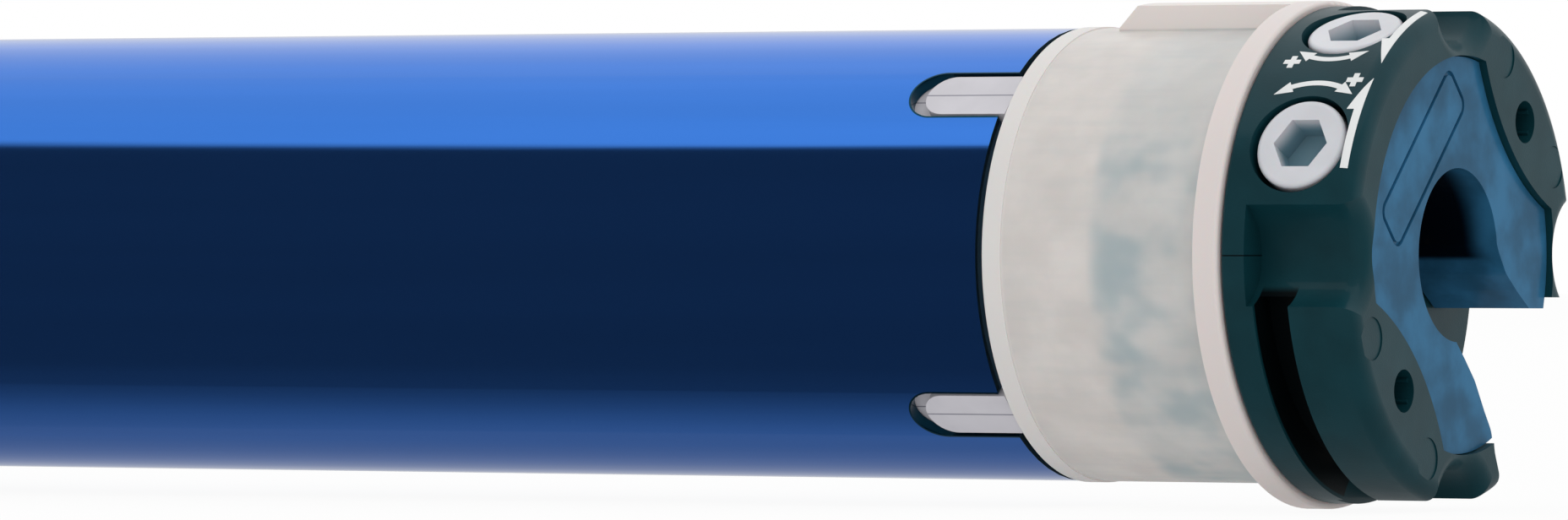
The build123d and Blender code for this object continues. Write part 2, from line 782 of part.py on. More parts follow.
# Spindles: gear at the front, plain core that carries the thread, journals at both ends
spindle_direction = math.degrees(math.atan2(spindle_v, spindle_u - pickup_u))
for name, side in sides.items():
    centre = (spindle_u, side * spindle_v)
    phase = mesh_phase(side * spindle_direction, pickup_teeth, 0, spindle_teeth)
    with BuildPart() as spindle:
        extrude(
            gear_sketch(uv(drive_back_x), centre, spindle_teeth, gear_module, phase, gear_backlash),
            amount=spindle_gear_width,
        )
        with BuildSketch(uv(unit_back_x + face_gap)):
            with Locations(centre):
                Circle(spindle_r)
        extrude(amount=drive_back_x - unit_back_x - face_gap)
        with BuildSketch(uv(rear_plate_back_x + seat_fit)):
            with Locations(centre):
                Circle(spindle_journal_r)
        extrude(amount=wall_back_x + journal_depth - face_gap - rear_plate_back_x - seat_fit)
    save(spindle.part, f"spindle_{name}")

# Limit nuts: toothed outside, running on the spindles
for name, side in sides.items():
    centre = (spindle_u, side * spindle_v)
    with BuildPart() as limit_nut:
        extrude(
            gear_sketch(uv(nut_centre_x - nut_width / 2), centre, nut_teeth, gear_module, 0, gear_backlash),
            amount=nut_width,
        )
        with BuildSketch(uv(nut_centre_x - nut_width / 2)):
            with Locations(centre):
                Circle(spindle_r + run_fit)
        extrude(amount=nut_width, mode=Mode.SUBTRACT)
    save(limit_nut.part, f"limit_nut_{name}")

# Carriages: two cheeks hold the nut, the block slides on the guide rod and trips the switch
for name, side in sides.items():
    with BuildPart() as carriage:
        with BuildSketch(uv(nut_centre_x - carriage_half_length)):
            with Locations((carriage_bottom_u, side * spindle_v)):
                block_height = carriage_top_u - carriage_bottom_u
                Rectangle(block_height, 2 * carriage_half_width, align=(Align.MIN, Align.CENTER))
        extrude(amount=2 * carriage_half_length)
        with BuildSketch(uv(nut_centre_x - carriage_half_length)):
            with Locations((carriage_top_u, side * spindle_v)):
                arm_height = spindle_u - carriage_top_u
                Rectangle(arm_height, 2 * carriage_half_width, align=(Align.MIN, Align.CENTER))
            with Locations((spindle_u, side * spindle_v)):
                Circle(cheek_r)
                Circle(spindle_r + run_fit + seat_fit, mode=Mode.SUBTRACT)
        extrude(amount=carriage_wall)
        mirror(about=Plane.YZ.offset(nut_centre_x))
        with BuildSketch(uv(nut_centre_x - carriage_half_length)):
            with Locations((rod_u, side * spindle_v)):
                Circle(rod_r + run_fit)
        extrude(amount=2 * carriage_half_length, mode=Mode.SUBTRACT)
    save(carriage.part, f"nut_carriage_{name}")

# Chassis: spigot in the crown, shoulder that carries the crown's back end, front wall, collar, keys, rails
spindle_places = [(spindle_u, side * spindle_v) for side in sides.values()]
long_places = [(long_u, side * long_v) for side in sides.values()]
rod_places = [(rod_u, side * spindle_v) for side in sides.values()]
screw_places = [(chassis_screw_u, side * chassis_screw_v) for side in sides.values()]
switch_centre_u = switch_top_u - switch_height / 2
switch_front_x = nut_travel_front_x + switch_end_gap - switch_length
switch_back_x = unit_back_x + rear_switch_gap
switch_places = {"front": (switch_front_x, 1), "rear": (switch_back_x, -1)}
key_back_x = tube_front_x - key_slot_depth + key_end_gap
with BuildPart() as limit_chassis:
    with BuildSketch(yz(shoulder_front_x)):
        Circle(spigot_r)
    extrude(amount=neck_back_x - shoulder_front_x)
    with BuildSketch(uv(shoulder_front_x)):
        with Locations((pickup_u, 0)):
            Circle(pickup_pitch_r + gear_tip + face_gap)
    extrude(amount=neck_back_x - shoulder_front_x, mode=Mode.SUBTRACT)
    with BuildSketch(yz(wall_front_x)):
        Circle(crown_bore_r - run_fit)
    extrude(amount=shoulder_front_x - wall_front_x)
    with BuildSketch(yz(wall_back_x)):
        Circle(inner_r)
    extrude(amount=chassis_wall)
    with BuildSketch(yz(collar_back_x)):
        Circle(inner_r)
        Circle(inner_r - collar_wall, mode=Mode.SUBTRACT)
    extrude(amount=collar_length)
    for angle in key_angles:
        with BuildSketch(radial(angle).offset(inner_r - collar_wall / 2)):
            with Locations((key_back_x + key_width / 2, 0)):
                Circle(key_width / 2)
                key_straight = wall_front_x - key_back_x - key_width / 2
                Rectangle(key_straight, key_width, align=(Align.MIN, Align.CENTER))
        extrude(amount=collar_wall / 2 + tube_wall + seat_fit - key_inset)
    with BuildSketch(uv(unit_back_x)):
        Circle(inner_r)
        Circle(inner_r - rail_wall, mode=Mode.SUBTRACT)
        with Locations((rail_u, 0)):
            Rectangle(2 * tube_r, 2 * tube_r, align=(Align.MIN, Align.CENTER), mode=Mode.SUBTRACT)
    extrude(amount=collar_back_x - unit_back_x)
    with BuildSketch(uv(unit_back_x)):
        Circle(inner_r - collar_wall / 2)
        with Locations((floor_u, 0)):
            Rectangle(floor_thickness, 2 * tube_r, align=(Align.MAX, Align.CENTER), mode=Mode.INTERSECT)
    extrude(amount=wall_back_x - unit_back_x)
    for back, side in switch_places.values():
        with BuildSketch(uv(back)):
            with Locations((floor_u, side * spindle_v)):
                Rectangle(floor_thickness, tab_width + 2 * side_gap, align=(Align.MAX, Align.CENTER))
        extrude(amount=switch_length, mode=Mode.SUBTRACT)
    with BuildSketch(uv(wall_front_x - chassis_wall)):
        for places, r in ((long_places, shaft_r + face_gap), (screw_places, chassis_screw_r + seat_fit)):
            with Locations(*places):
                Circle(r)
        with Locations((wire_hole_u, 0)):
            Circle(wire_hole_r)
    extrude(amount=neck_back_x - wall_back_x, mode=Mode.SUBTRACT)
    with BuildSketch(uv(shoulder_front_x)):
        for place in long_places:
            with Locations(Location(place, math.degrees(math.atan2(place[1], place[0])))):
                Rectangle(spigot_r, 2 * (shaft_r + face_gap), align=(Align.MIN, Align.CENTER))
    extrude(amount=neck_back_x - shoulder_front_x, mode=Mode.SUBTRACT)
    with BuildSketch(uv(wall_back_x)):
        with Locations((pickup_u, 0)):
            Circle(shaft_r + run_fit)
    extrude(amount=shoulder_front_x - wall_back_x, mode=Mode.SUBTRACT)
    with BuildSketch(uv(wall_back_x)):
        with Locations(*spindle_places):
            Circle(spindle_journal_r + run_fit)
        with Locations(*rod_places):
            Circle(rod_r + run_fit)
    extrude(amount=journal_depth, mode=Mode.SUBTRACT)
save(limit_chassis.part, "limit_chassis")

# Rear plate of the limit unit
with BuildPart() as limit_rear_plate:
    with BuildSketch(uv(rear_plate_back_x)):
        Circle(inner_r)
        with Locations(*spindle_places):
            Circle(spindle_journal_r + run_fit, mode=Mode.SUBTRACT)
        with Locations(*long_places):
            Circle(shaft_r + run_fit, mode=Mode.SUBTRACT)
        with Locations(*rod_places):
            Circle(rod_r + run_fit, mode=Mode.SUBTRACT)
        with Locations((wire_hole_u, 0)):
            Circle(wire_hole_r, mode=Mode.SUBTRACT)
    extrude(amount=rear_plate_width)
save(limit_rear_plate.part, "limit_rear_plate")

# Guide rods for the carriages
with BuildPart() as guide_rods:
    with BuildSketch(uv(rear_plate_back_x + seat_fit)):
        with Locations(*rod_places):
            Circle(rod_r)
    extrude(amount=wall_back_x + journal_depth - face_gap - rear_plate_back_x)
save(guide_rods.part, "guide_rods")

# Long screws that hold housing, neck and chassis together
with BuildPart() as chassis_screws:
    with BuildSketch(uv(wall_back_x)):
        with Locations(*screw_places):
            Circle(chassis_screw_r)
    extrude(amount=chassis_screw_length)
    with BuildSketch(uv(wall_back_x)):
        with Locations(*screw_places):
            Circle(chassis_screw_head_r)
            RectangleRounded(screw_slot_width, 2 * chassis_screw_r, screw_slot_corner_r, mode=Mode.SUBTRACT)
    extrude(amount=-chassis_screw_head_height)
save(chassis_screws.part, "chassis_screws")

# Microswitches, their terminals and their plungers
plunger_places = {
    "front": (switch_front_x + switch_length - plunger_inset, 1),
    "rear": (switch_back_x + plunger_inset, -1),
}
with BuildPart() as microswitches:
    for back, side in switch_places.values():
        with BuildSketch(uv(back)):
            with Locations((switch_centre_u, side * spindle_v)):
                Rectangle(switch_height, switch_width)
        extrude(amount=switch_length)
    for x, side in plunger_places.values():
        with BuildSketch(radial(mech_angle).offset(switch_top_u - plunger_depth)):
            with Locations((x, -side * spindle_v)):
                Circle(plunger_r + run_fit)
        extrude(amount=plunger_depth, mode=Mode.SUBTRACT)
save(microswitches.part, "microswitches")

with BuildPart() as switch_terminals:
    for back, side in switch_places.values():
        with BuildSketch(radial(mech_angle).offset(switch_top_u - switch_height)):
            with Locations((back + switch_length / 2, -side * spindle_v)):
                with GridLocations(tab_spacing, tab_width, tab_count, 1):
                    Rectangle(tab_thickness, tab_width)
        extrude(amount=-tab_length)
save(switch_terminals.part, "switch_terminals")

for name, (x, side) in plunger_places.items():
    with BuildPart() as plunger:
        with BuildSketch(radial(mech_angle).offset(switch_top_u - plunger_depth + plunger_spare_depth)):
            with Locations((x, -side * spindle_v)):
                Circle(plunger_r)
        extrude(amount=plunger_depth - plunger_spare_depth + plunger_height)
        fillet(plunger.edges().filter_by(GeomType.CIRCLE).sort_by(SortBy.DISTANCE)[0], plunger_edge_r)
    save(plunger.part, f"switch_plunger_{name}")

# Terminal board behind the rear plate
with BuildPart() as terminal_board:
    with BuildSketch(uv(board_back_x)):
        Circle(board_r)
        with Locations((wire_hole_u, 0)):
            Circle(wire_hole_r, mode=Mode.SUBTRACT)
    extrude(amount=board_thickness)
save(terminal_board.part, "terminal_board")

# Wires: from the inlet to the board, and from the board along the capacitor to the windings
with BuildPart() as lead_wires:
    with BuildSketch(uv(rear_plate_back_x)):
        with Locations((wire_hole_u, 0)):
            with GridLocations(wire_spacing, wire_spacing, wire_count, 1):
                Circle(wire_r)
    extrude(amount=socket_back_x - rear_plate_back_x)
    with BuildSketch(uv(stator_front_x + winding_overhang + winding_gap)):
        with Locations((-motor_wire_r, 0)):
            with GridLocations(wire_spacing, wire_spacing, 1, wire_count):
                Circle(wire_r)
    extrude(amount=board_back_x - stator_front_x - winding_overhang - winding_gap)
save(lead_wires.part, "lead_wires")

# Run capacitor in its cradle
cradle_length = capacitor_length + cradle_overlap
cradle_back_x = capacitor_back_x - cradle_overlap / 2
wire_slot_width = wire_spacing * wire_count + 2 * wire_r
with BuildPart() as capacitor_cradle:
    for back in (cradle_back_x, cradle_back_x + cradle_length - cradle_ring_width):
        with BuildSketch(uv(back)):
            Circle(inner_r)
        extrude(amount=cradle_ring_width)
    with BuildSketch(uv(cradle_back_x)):
        rib_centre_r = (inner_r + capacitor_r) / 2
        with PolarLocations(rib_centre_r, cradle_rib_count, start_angle=180 / cradle_rib_count):
            Rectangle(inner_r - capacitor_r - side_gap, cradle_rib_width)
    extrude(amount=cradle_length)
    with BuildSketch(uv(capacitor_back_x - seat_fit)):
        Circle(capacitor_r + seat_fit)
    extrude(amount=capacitor_length + cradle_overlap, mode=Mode.SUBTRACT)
    with BuildSketch(uv(cradle_back_x)):
        with Locations((-inner_r - overrun, 0)):
            Rectangle(inner_r + overrun - capacitor_r, wire_slot_width, align=(Align.MIN, Align.CENTER))
    extrude(amount=cradle_length, mode=Mode.SUBTRACT)
save(capacitor_cradle.part, "capacitor_cradle")

with BuildPart() as run_capacitor:
    with BuildSketch(uv(capacitor_back_x)):
        Circle(capacitor_r)
    extrude(amount=capacitor_length)
    fillet(run_capacitor.edges().group_by(Axis.X)[0], capacitor_edge_r)
    with BuildSketch(uv(capacitor_front_x)):
        Circle(capacitor_r - capacitor_edge_r)
    extrude(amount=capacitor_edge_r)
    with BuildSketch(uv(capacitor_front_x + capacitor_edge_r)):
        with GridLocations(tab_spacing, 2 * tab_spacing, 1, 2):
            Rectangle(tab_width, tab_thickness)
    extrude(amount=board_back_x - capacitor_front_x - capacitor_edge_r)
save(run_capacitor.part, "run_capacitor")

# Shafts' bushes: two in the motor's end shields, one in the end cap
bush_r = motor_shaft_r + run_fit + bush_wall
hub_front_x = shield_front_x + shield_hub_length / 2 - shield_wall / 2
hub_back_x = shield_back_x - shield_hub_length / 2 + shield_wall / 2
output_bush_r = output_shaft_r + run_fit + output_bush_wall
output_bush_length = end_cap_length + end_cap_flange - output_bush_wall
with BuildPart() as bronze_bushes:
    for low in (hub_front_x - shield_hub_length, hub_back_x):
        with BuildSketch(yz(low)):
            Circle(bush_r)
            Circle(motor_shaft_r + run_fit, mode=Mode.SUBTRACT)
        extrude(amount=shield_hub_length)
    with BuildSketch(yz(cap_back_x)):
        Circle(output_bush_r)
        Circle(output_shaft_r + run_fit, mode=Mode.SUBTRACT)
    extrude(amount=output_bush_length)
save(bronze_bushes.part, "bronze_bushes")

# End shields: wall, rim that meets the stator, hub for the bush
with BuildPart() as front_shield:
    with BuildSketch(yz(shield_front_x - shield_wall)):
        Circle(inner_r)
    extrude(amount=shield_wall)
    with BuildSketch(yz(stator_front_x)):
        Circle(inner_r)
        Circle(inner_r - shield_rim_wall, mode=Mode.SUBTRACT)
    extrude(amount=shield_rim)
    with BuildSketch(yz(hub_front_x - shield_hub_length)):
        Circle(shield_hub_r)
    extrude(amount=shield_hub_length)
    with BuildSketch(yz(hub_front_x - shield_hub_length)):
        Circle(bush_r + run_fit)
    extrude(amount=shield_hub_length, mode=Mode.SUBTRACT)
    with BuildSketch(uv(shield_front_x)):
        with Locations((-motor_wire_r, 0)):
            SlotOverall(wire_slot_width + 2 * wire_r, 2 * wire_r + side_gap, rotation=90)
    extrude(amount=-shield_wall, mode=Mode.SUBTRACT)
save(front_shield.part, "front_shield")

with BuildPart() as rear_shield:
    with BuildSketch(yz(shield_back_x)):
        Circle(inner_r)
    extrude(amount=shield_wall)
    with BuildSketch(yz(stator_back_x - shield_rim)):
        Circle(inner_r)
        Circle(inner_r - shield_rim_wall, mode=Mode.SUBTRACT)
    extrude(amount=shield_rim)
    with BuildSketch(yz(hub_back_x)):
        Circle(shield_hub_r)
    extrude(amount=shield_hub_length)
    with BuildSketch(yz(hub_back_x)):
        Circle(bush_r + run_fit)
    extrude(amount=shield_hub_length, mode=Mode.SUBTRACT)
    with BuildSketch(yz(gearbox_plate_x)):
        with PolarLocations(pillar_circle_r, pillar_count, start_angle=pillar_angle):
            Circle(pillar_r)
    extrude(amount=shield_back_x - gearbox_plate_x)
save(rear_shield.part, "rear_shield")

# Stator: laminated core with slots, and the windings in them
slot_width_at = (stator_slot_inner_width, stator_slot_outer_width)


def stator_slots(shrink):
    """Sketch of the winding spaces, drawn in by this much all round."""
    with BuildSketch(yz(stator_back_x)) as region:
        with PolarLocations(0, stator_slot_count):
            low, high = stator_slot_inner_r + shrink, stator_slot_outer_r - shrink
            inner, outer = (width / 2 - shrink for width in slot_width_at)
            Polygon((low, -inner), (high, -outer), (high, outer), (low, inner), align=None)
    return region.sketch


with BuildPart() as stator_core:
    with BuildSketch(yz(stator_back_x)):
        Circle(inner_r)
        Circle(stator_bore_r, mode=Mode.SUBTRACT)
        add(stator_slots(0), mode=Mode.SUBTRACT)
        with PolarLocations(stator_bore_r, stator_slot_count):
            Rectangle(2 * (stator_slot_inner_r - stator_bore_r), stator_slot_mouth, mode=Mode.SUBTRACT)
    extrude(amount=stator_length)
save(stator_core.part, "stator_core")

with BuildPart() as stator_windings:
    for low in (stator_front_x + winding_gap, stator_back_x - winding_gap - winding_overhang):
        with BuildSketch(yz(low)):
            Circle(winding_outer_r)
            Circle(winding_inner_r, mode=Mode.SUBTRACT)
        extrude(amount=winding_overhang)
    ends = stator_windings.edges().filter_by(GeomType.CIRCLE).group_by(Axis.X)
    fillet(ends[0] + ends[-1], winding_edge_r)
    extrude(stator_slots(winding_gap), amount=stator_length + winding_gap)
    extrude(stator_slots(winding_gap), amount=-winding_gap)
save(stator_windings.part, "stator_windings")

# Rotor: shaft with the first sun gear cut on it, core with end rings and blades, brake disc
stage_fronts = [gearbox_x - planet_end_gap]
for back in stage_backs[:-1]:
    stage_fronts.append(back - planet_end_gap)


def sun_gear(index):
    """Sketch of a stage's sun gear at the back end of its planets."""
    back = stage_fronts[index] - stage_widths[index]
    return gear_sketch(yz(back), (0, 0), sun_teeth, stage_module, 0, gear_backlash)


with BuildPart() as rotor_shaft:
    with BuildSketch(yz(stage_fronts[0])):
        Circle(motor_shaft_r)
    extrude(amount=hub_front_x + shaft_front_stub - stage_fronts[0])
    extrude(sun_gear(0), amount=stage_widths[0])
    chamfer(rotor_shaft.edges().group_by(Axis.X)[-1], shaft_end_chamfer)
save(rotor_shaft.part, "rotor_shaft")

rotor_r = stator_bore_r - air_gap
with BuildPart() as rotor_core:
    with BuildSketch(yz(stator_back_x)):
        Circle(rotor_r)
    extrude(amount=stator_length)
    for low in (stator_front_x, stator_back_x - rotor_end_ring_width):
        with BuildSketch(yz(low)):
            Circle(rotor_r - side_gap)
            Circle(rotor_r - side_gap - rotor_end_ring_wall, mode=Mode.SUBTRACT)
        extrude(amount=rotor_end_ring_width)
    for low in (stator_front_x, stator_back_x - rotor_end_ring_width - rotor_blade_height):
        with BuildSketch(yz(low)):
            with PolarLocations(rotor_r - side_gap - rotor_end_ring_wall / 2, rotor_blade_count):
                Rectangle(rotor_end_ring_wall - side_gap, rotor_blade_width)
        extrude(amount=rotor_end_ring_width + rotor_blade_height)
    with BuildSketch(yz(stator_back_x)):
        Circle(motor_shaft_r + run_fit)
    extrude(amount=stator_length, mode=Mode.SUBTRACT)
save(rotor_core.part, "rotor_core")

with BuildPart() as brake_disc:
    with BuildSketch(yz(brake_disc_x - brake_disc_width)):
        Circle(brake_disc_r)
        Circle(motor_shaft_r + run_fit, mode=Mode.SUBTRACT)
    extrude(amount=brake_disc_width)
save(brake_disc.part, "brake_disc")

# Brake: magnet with its coil and spring, and the armature plate on the shield's pillars
with BuildPart() as brake_magnet:
    with BuildSketch(yz(brake_pot_x)):
        Circle(brake_flange_r)
        with PolarLocations(pillar_circle_r, pillar_count, start_angle=pillar_angle):
            Circle(pillar_r + run_fit, mode=Mode.SUBTRACT)
    extrude(amount=brake_flange_width)
    with BuildSketch(yz(brake_face_x)):
        Circle(brake_pot_r)
    extrude(amount=brake_pot_length)
    with BuildSketch(yz(brake_face_x)):
        Circle(coil_outer_r)
        Circle(coil_inner_r, mode=Mode.SUBTRACT)
    extrude(amount=coil_depth, mode=Mode.SUBTRACT)
    with BuildSketch(yz(brake_face_x)):
        Circle(spring_r + spring_wire_r + side_gap)
    extrude(amount=spring_pocket_depth, mode=Mode.SUBTRACT)
    with BuildSketch(yz(brake_face_x)):
        Circle(motor_shaft_r + shaft_clearance)
    extrude(amount=brake_flange_x - brake_face_x, mode=Mode.SUBTRACT)
save(brake_magnet.part, "brake_magnet")

with BuildPart() as brake_coil:
    with BuildSketch(yz(brake_face_x + coil_gap)):
        Circle(coil_outer_r - coil_gap)
        Circle(coil_inner_r + coil_gap, mode=Mode.SUBTRACT)
    extrude(amount=coil_depth - 2 * coil_gap)
    fillet(brake_coil.edges().filter_by(GeomType.CIRCLE), coil_gap)
save(brake_coil.part, "brake_coil")

spring_length = spring_turns * spring_pitch
spring_base_x = brake_face_x + spring_pocket_depth - spring_wire_r
spring_axis = Plane(origin=(spring_base_x, 0, 0), x_dir=(0, 1, 0), z_dir=(-1, 0, 0))
with BuildPart() as brake_spring:
    spring_line = spring_axis.location * Helix(spring_pitch, spring_length, spring_r)
    with BuildSketch(Plane(origin=spring_line @ 0, z_dir=spring_line % 0)):
        Circle(spring_wire_r)
    sweep(path=spring_line, is_frenet=True)
print("brake spring, gap between its turns:", spring_pitch - 2 * spring_wire_r)
save(brake_spring.part, "brake_spring")

with BuildPart() as brake_armature:
    with BuildSketch(yz(armature_x - armature_width)):
        Circle(brake_flange_r)
        Circle(motor_shaft_r + shaft_clearance, mode=Mode.SUBTRACT)
        with PolarLocations(pillar_circle_r, pillar_count, start_angle=pillar_angle):
            Circle(pillar_r + run_fit, mode=Mode.SUBTRACT)
    extrude(amount=armature_width)
save(brake_armature.part, "brake_armature")

# Gearbox: front plate, ring gear that all stages share
with BuildPart() as gearbox_plate:
    with BuildSketch(yz(gearbox_x)):
        Circle(inner_r)
        Circle(motor_shaft_r + shaft_clearance, mode=Mode.SUBTRACT)
    extrude(amount=gearbox_plate_width)
save(gearbox_plate.part, "gearbox_plate")

with BuildPart() as ring_gear:
    with BuildSketch(yz(ring_back)):
        Circle(inner_r)
    extrude(amount=gearbox_x - ring_back)
    extrude(
        gear_sketch(yz(ring_back), (0, 0), ring_teeth, stage_module, 0, gear_backlash, inside=True),
        amount=gearbox_x - ring_back,
        mode=Mode.SUBTRACT,
    )
save(ring_gear.part, "ring_gear")

# Planets and carriers: each carrier's pins hold its planets, and its own back end carries the next sun gear
planet_orbit_r = stage_module * (sun_teeth + planet_teeth) / 2
planet_angles = [360 * n / planet_count for n in range(planet_count)]
for stage, (front, width) in enumerate(zip(stage_fronts, stage_widths)):
    for number, angle in enumerate(planet_angles):
        turn = math.radians(angle)
        centre = (planet_orbit_r * math.cos(turn), planet_orbit_r * math.sin(turn))
        phase = mesh_phase(angle, sun_teeth, 0, planet_teeth)
        with BuildPart() as planet:
            extrude(
                gear_sketch(yz(front - width), centre, planet_teeth, stage_module, phase, gear_backlash),
                amount=width,
            )
            with BuildSketch(yz(front - width)):
                with Locations(centre):
                    Circle(planet_pin_r + run_fit)
            extrude(amount=width, mode=Mode.SUBTRACT)
        save(planet.part, f"planet_{stage + 1}_{number + 1}")

last_stage = len(stage_widths) - 1
shaft_end_x = cap_back_x - output_shaft_stub
for stage, (front, back) in enumerate(zip(stage_fronts, stage_backs)):
    with BuildPart() as carrier:
        with BuildSketch(yz(back)):
            Circle(carrier_r)
        extrude(amount=carrier_width)
        with BuildSketch(yz(back)):
            with PolarLocations(planet_orbit_r, planet_count):
                Circle(planet_pin_r)
        extrude(amount=front - back)
        if stage < last_stage:
            next_front, next_width = stage_fronts[stage + 1], stage_widths[stage + 1]
            extrude(sun_gear(stage + 1), amount=back - next_front + next_width)
        else:
            with BuildSketch(yz(shaft_end_x)):
                Circle(output_shaft_r)
            extrude(amount=back - shaft_end_x)
            with BuildSketch(yz(shaft_end_x)):
                Circle(output_shaft_r + overrun)
                Rectangle(2 * output_flat_r, 2 * (output_shaft_r + overrun), mode=Mode.SUBTRACT)
            extrude(amount=output_shaft_stub - wheel_front_gap + side_gap, mode=Mode.SUBTRACT)
            clip_back_x = cap_back_x - wheel_front_gap - drive_wheel_width - clip_distance - clip_width
            with BuildSketch(yz(clip_back_x)):
                Circle(output_shaft_r + overrun)
                Circle(clip_groove_r - side_gap, mode=Mode.SUBTRACT)
            extrude(amount=clip_width + clip_distance / 2, mode=Mode.SUBTRACT)
    save(carrier.part, f"carrier_{stage + 1}" if stage < last_stage else "output_carrier")

# End cap: plug in the tube's back end, flange over its edge, bore for the bush
with BuildPart() as end_cap:
    with BuildSketch(yz(tube_back_x)):
        Circle(inner_r)
    extrude(amount=end_cap_length)
    with BuildSketch(yz(cap_back_x)):
        Circle(tube_r)
    extrude(amount=end_cap_flange)
    fillet(end_cap.edges().group_by(Axis.X)[0], end_cap_edge_r)
    with BuildSketch(yz(cap_back_x)):
        Circle(output_bush_r + run_fit)
    extrude(amount=end_cap_length + end_cap_flange, mode=Mode.SUBTRACT)
    for angle in tube_screw_angles:
        with BuildSketch(radial(angle, tube_screw_x).offset(inner_r - tube_screw_length)):
            Circle(tube_screw_r + run_fit)
        extrude(amount=tube_screw_length + overrun, mode=Mode.SUBTRACT)
save(end_cap.part, "end_cap")

# Screws through the tube into the end cap, heads flush with the tube
with BuildPart() as tube_screws:
    for angle in tube_screw_angles:
        with BuildSketch(radial(angle, tube_screw_x).offset(inner_r - tube_screw_length + side_gap)):
            Circle(tube_screw_r)
        extrude(amount=tube_screw_length - side_gap)
        with BuildSketch(radial(angle, tube_screw_x).offset(inner_r)):
            Circle(tube_screw_head_r)
        extrude(amount=tube_wall)
        with BuildSketch(radial(angle, tube_screw_x).offset(inner_r + tube_wall / 2)):
            Rectangle(tube_screw_slot, 2 * tube_screw_head_r)
        extrude(amount=tube_wall, mode=Mode.SUBTRACT)
save(tube_screws.part, "tube_screws")

# Drive wheel on the output shaft's flats, with ribs, keys and a retaining clip behind it
wheel_front = cap_back_x - wheel_front_gap
wheel_back = wheel_front - drive_wheel_width
with BuildPart() as drive_wheel:
    with BuildSketch(yz(wheel_back)):
        Circle(drive_wheel_r)
        Circle(drive_wheel_r - drive_wheel_rim, mode=Mode.SUBTRACT)
        Circle(drive_wheel_hub_r)
        with PolarLocations((drive_wheel_r + drive_wheel_hub_r - drive_wheel_rim) / 2, drive_wheel_rib_count):
            Rectangle(drive_wheel_r - drive_wheel_hub_r - drive_wheel_rim + side_gap, drive_wheel_rib_width)
    extrude(amount=drive_wheel_width)
    with BuildSketch(yz(wheel_back + (drive_wheel_width - drive_wheel_web) / 2)):
        Circle(drive_wheel_r - drive_wheel_rim / 2)
    extrude(amount=drive_wheel_web)
    with BuildSketch(yz(wheel_back)):
        with PolarLocations(drive_wheel_r, drive_wheel_groove_count, start_angle=crown_key_angle):
            Rectangle(2 * drive_wheel_groove_depth, crown_key_width)
    extrude(amount=drive_wheel_width, mode=Mode.SUBTRACT)
    with BuildSketch(yz(wheel_back)):
        Circle(output_shaft_r + run_fit)
        with BuildSketch(mode=Mode.PRIVATE) as between_flats:
            Rectangle(2 * (output_flat_r + run_fit), 2 * (output_shaft_r + overrun))
        add(between_flats.sketch, mode=Mode.INTERSECT)
    extrude(amount=drive_wheel_width, mode=Mode.SUBTRACT)
save(drive_wheel.part, "drive_wheel")

with BuildPart() as drive_wheel_clip:
    with BuildSketch(yz(wheel_back - clip_distance - clip_width)):
        Circle(clip_r)
        Circle(clip_groove_r - side_gap + run_fit, mode=Mode.SUBTRACT)
        Rectangle(clip_r + overrun, clip_gap_width, align=(Align.MIN, Align.CENTER), mode=Mode.SUBTRACT)
    extrude(amount=clip_width)
save(drive_wheel_clip.part, "drive_wheel_clip")
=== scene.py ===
"""Looks of the tubular roller blind motor: finishes, printed marks, small repeated parts and the studio."""

import json
import logging
import math
from dataclasses import dataclass, field
from enum import Enum
from typing import Mapping, Sequence, Union

import bpy
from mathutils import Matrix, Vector

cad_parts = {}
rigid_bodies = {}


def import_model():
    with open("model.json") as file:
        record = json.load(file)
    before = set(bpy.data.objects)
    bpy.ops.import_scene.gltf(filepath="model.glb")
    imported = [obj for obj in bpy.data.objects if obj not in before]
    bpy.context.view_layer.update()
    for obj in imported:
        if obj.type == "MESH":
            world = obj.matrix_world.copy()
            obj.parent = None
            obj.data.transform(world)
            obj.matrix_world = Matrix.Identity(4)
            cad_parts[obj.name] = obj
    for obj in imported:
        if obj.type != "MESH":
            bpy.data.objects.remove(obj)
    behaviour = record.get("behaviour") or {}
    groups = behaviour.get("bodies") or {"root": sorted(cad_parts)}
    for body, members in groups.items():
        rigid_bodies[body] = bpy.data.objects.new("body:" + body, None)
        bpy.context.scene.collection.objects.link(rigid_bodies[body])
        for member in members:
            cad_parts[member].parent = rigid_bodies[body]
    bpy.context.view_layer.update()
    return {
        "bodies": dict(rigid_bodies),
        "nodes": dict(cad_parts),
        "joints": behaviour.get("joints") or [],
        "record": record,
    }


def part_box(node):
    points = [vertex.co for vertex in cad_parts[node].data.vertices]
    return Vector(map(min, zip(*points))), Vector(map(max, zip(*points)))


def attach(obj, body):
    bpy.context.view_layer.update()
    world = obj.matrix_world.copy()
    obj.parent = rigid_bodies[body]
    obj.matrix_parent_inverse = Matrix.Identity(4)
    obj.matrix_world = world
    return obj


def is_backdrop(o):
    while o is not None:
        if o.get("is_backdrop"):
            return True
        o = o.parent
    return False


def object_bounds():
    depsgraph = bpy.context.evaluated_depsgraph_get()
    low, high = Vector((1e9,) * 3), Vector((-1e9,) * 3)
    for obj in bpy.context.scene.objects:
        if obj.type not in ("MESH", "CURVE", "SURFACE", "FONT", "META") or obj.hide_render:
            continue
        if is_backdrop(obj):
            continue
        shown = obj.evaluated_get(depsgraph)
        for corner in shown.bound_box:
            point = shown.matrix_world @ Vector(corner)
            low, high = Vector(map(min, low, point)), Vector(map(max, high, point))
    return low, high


Color = tuple[float, float, float]
Place = tuple[float, float, float]
Point = tuple[float, float]
Socket = bpy.types.NodeSocket
Number = Union[float, "Term"]

MM = 0.001
BASE_BODY = "motor_body"
FULL_TURN = 2 * math.pi
CROWN_FLANGE_WIDTH = 2.6 * MM
CROWN_LIP_WIDTH = 2.0 * MM

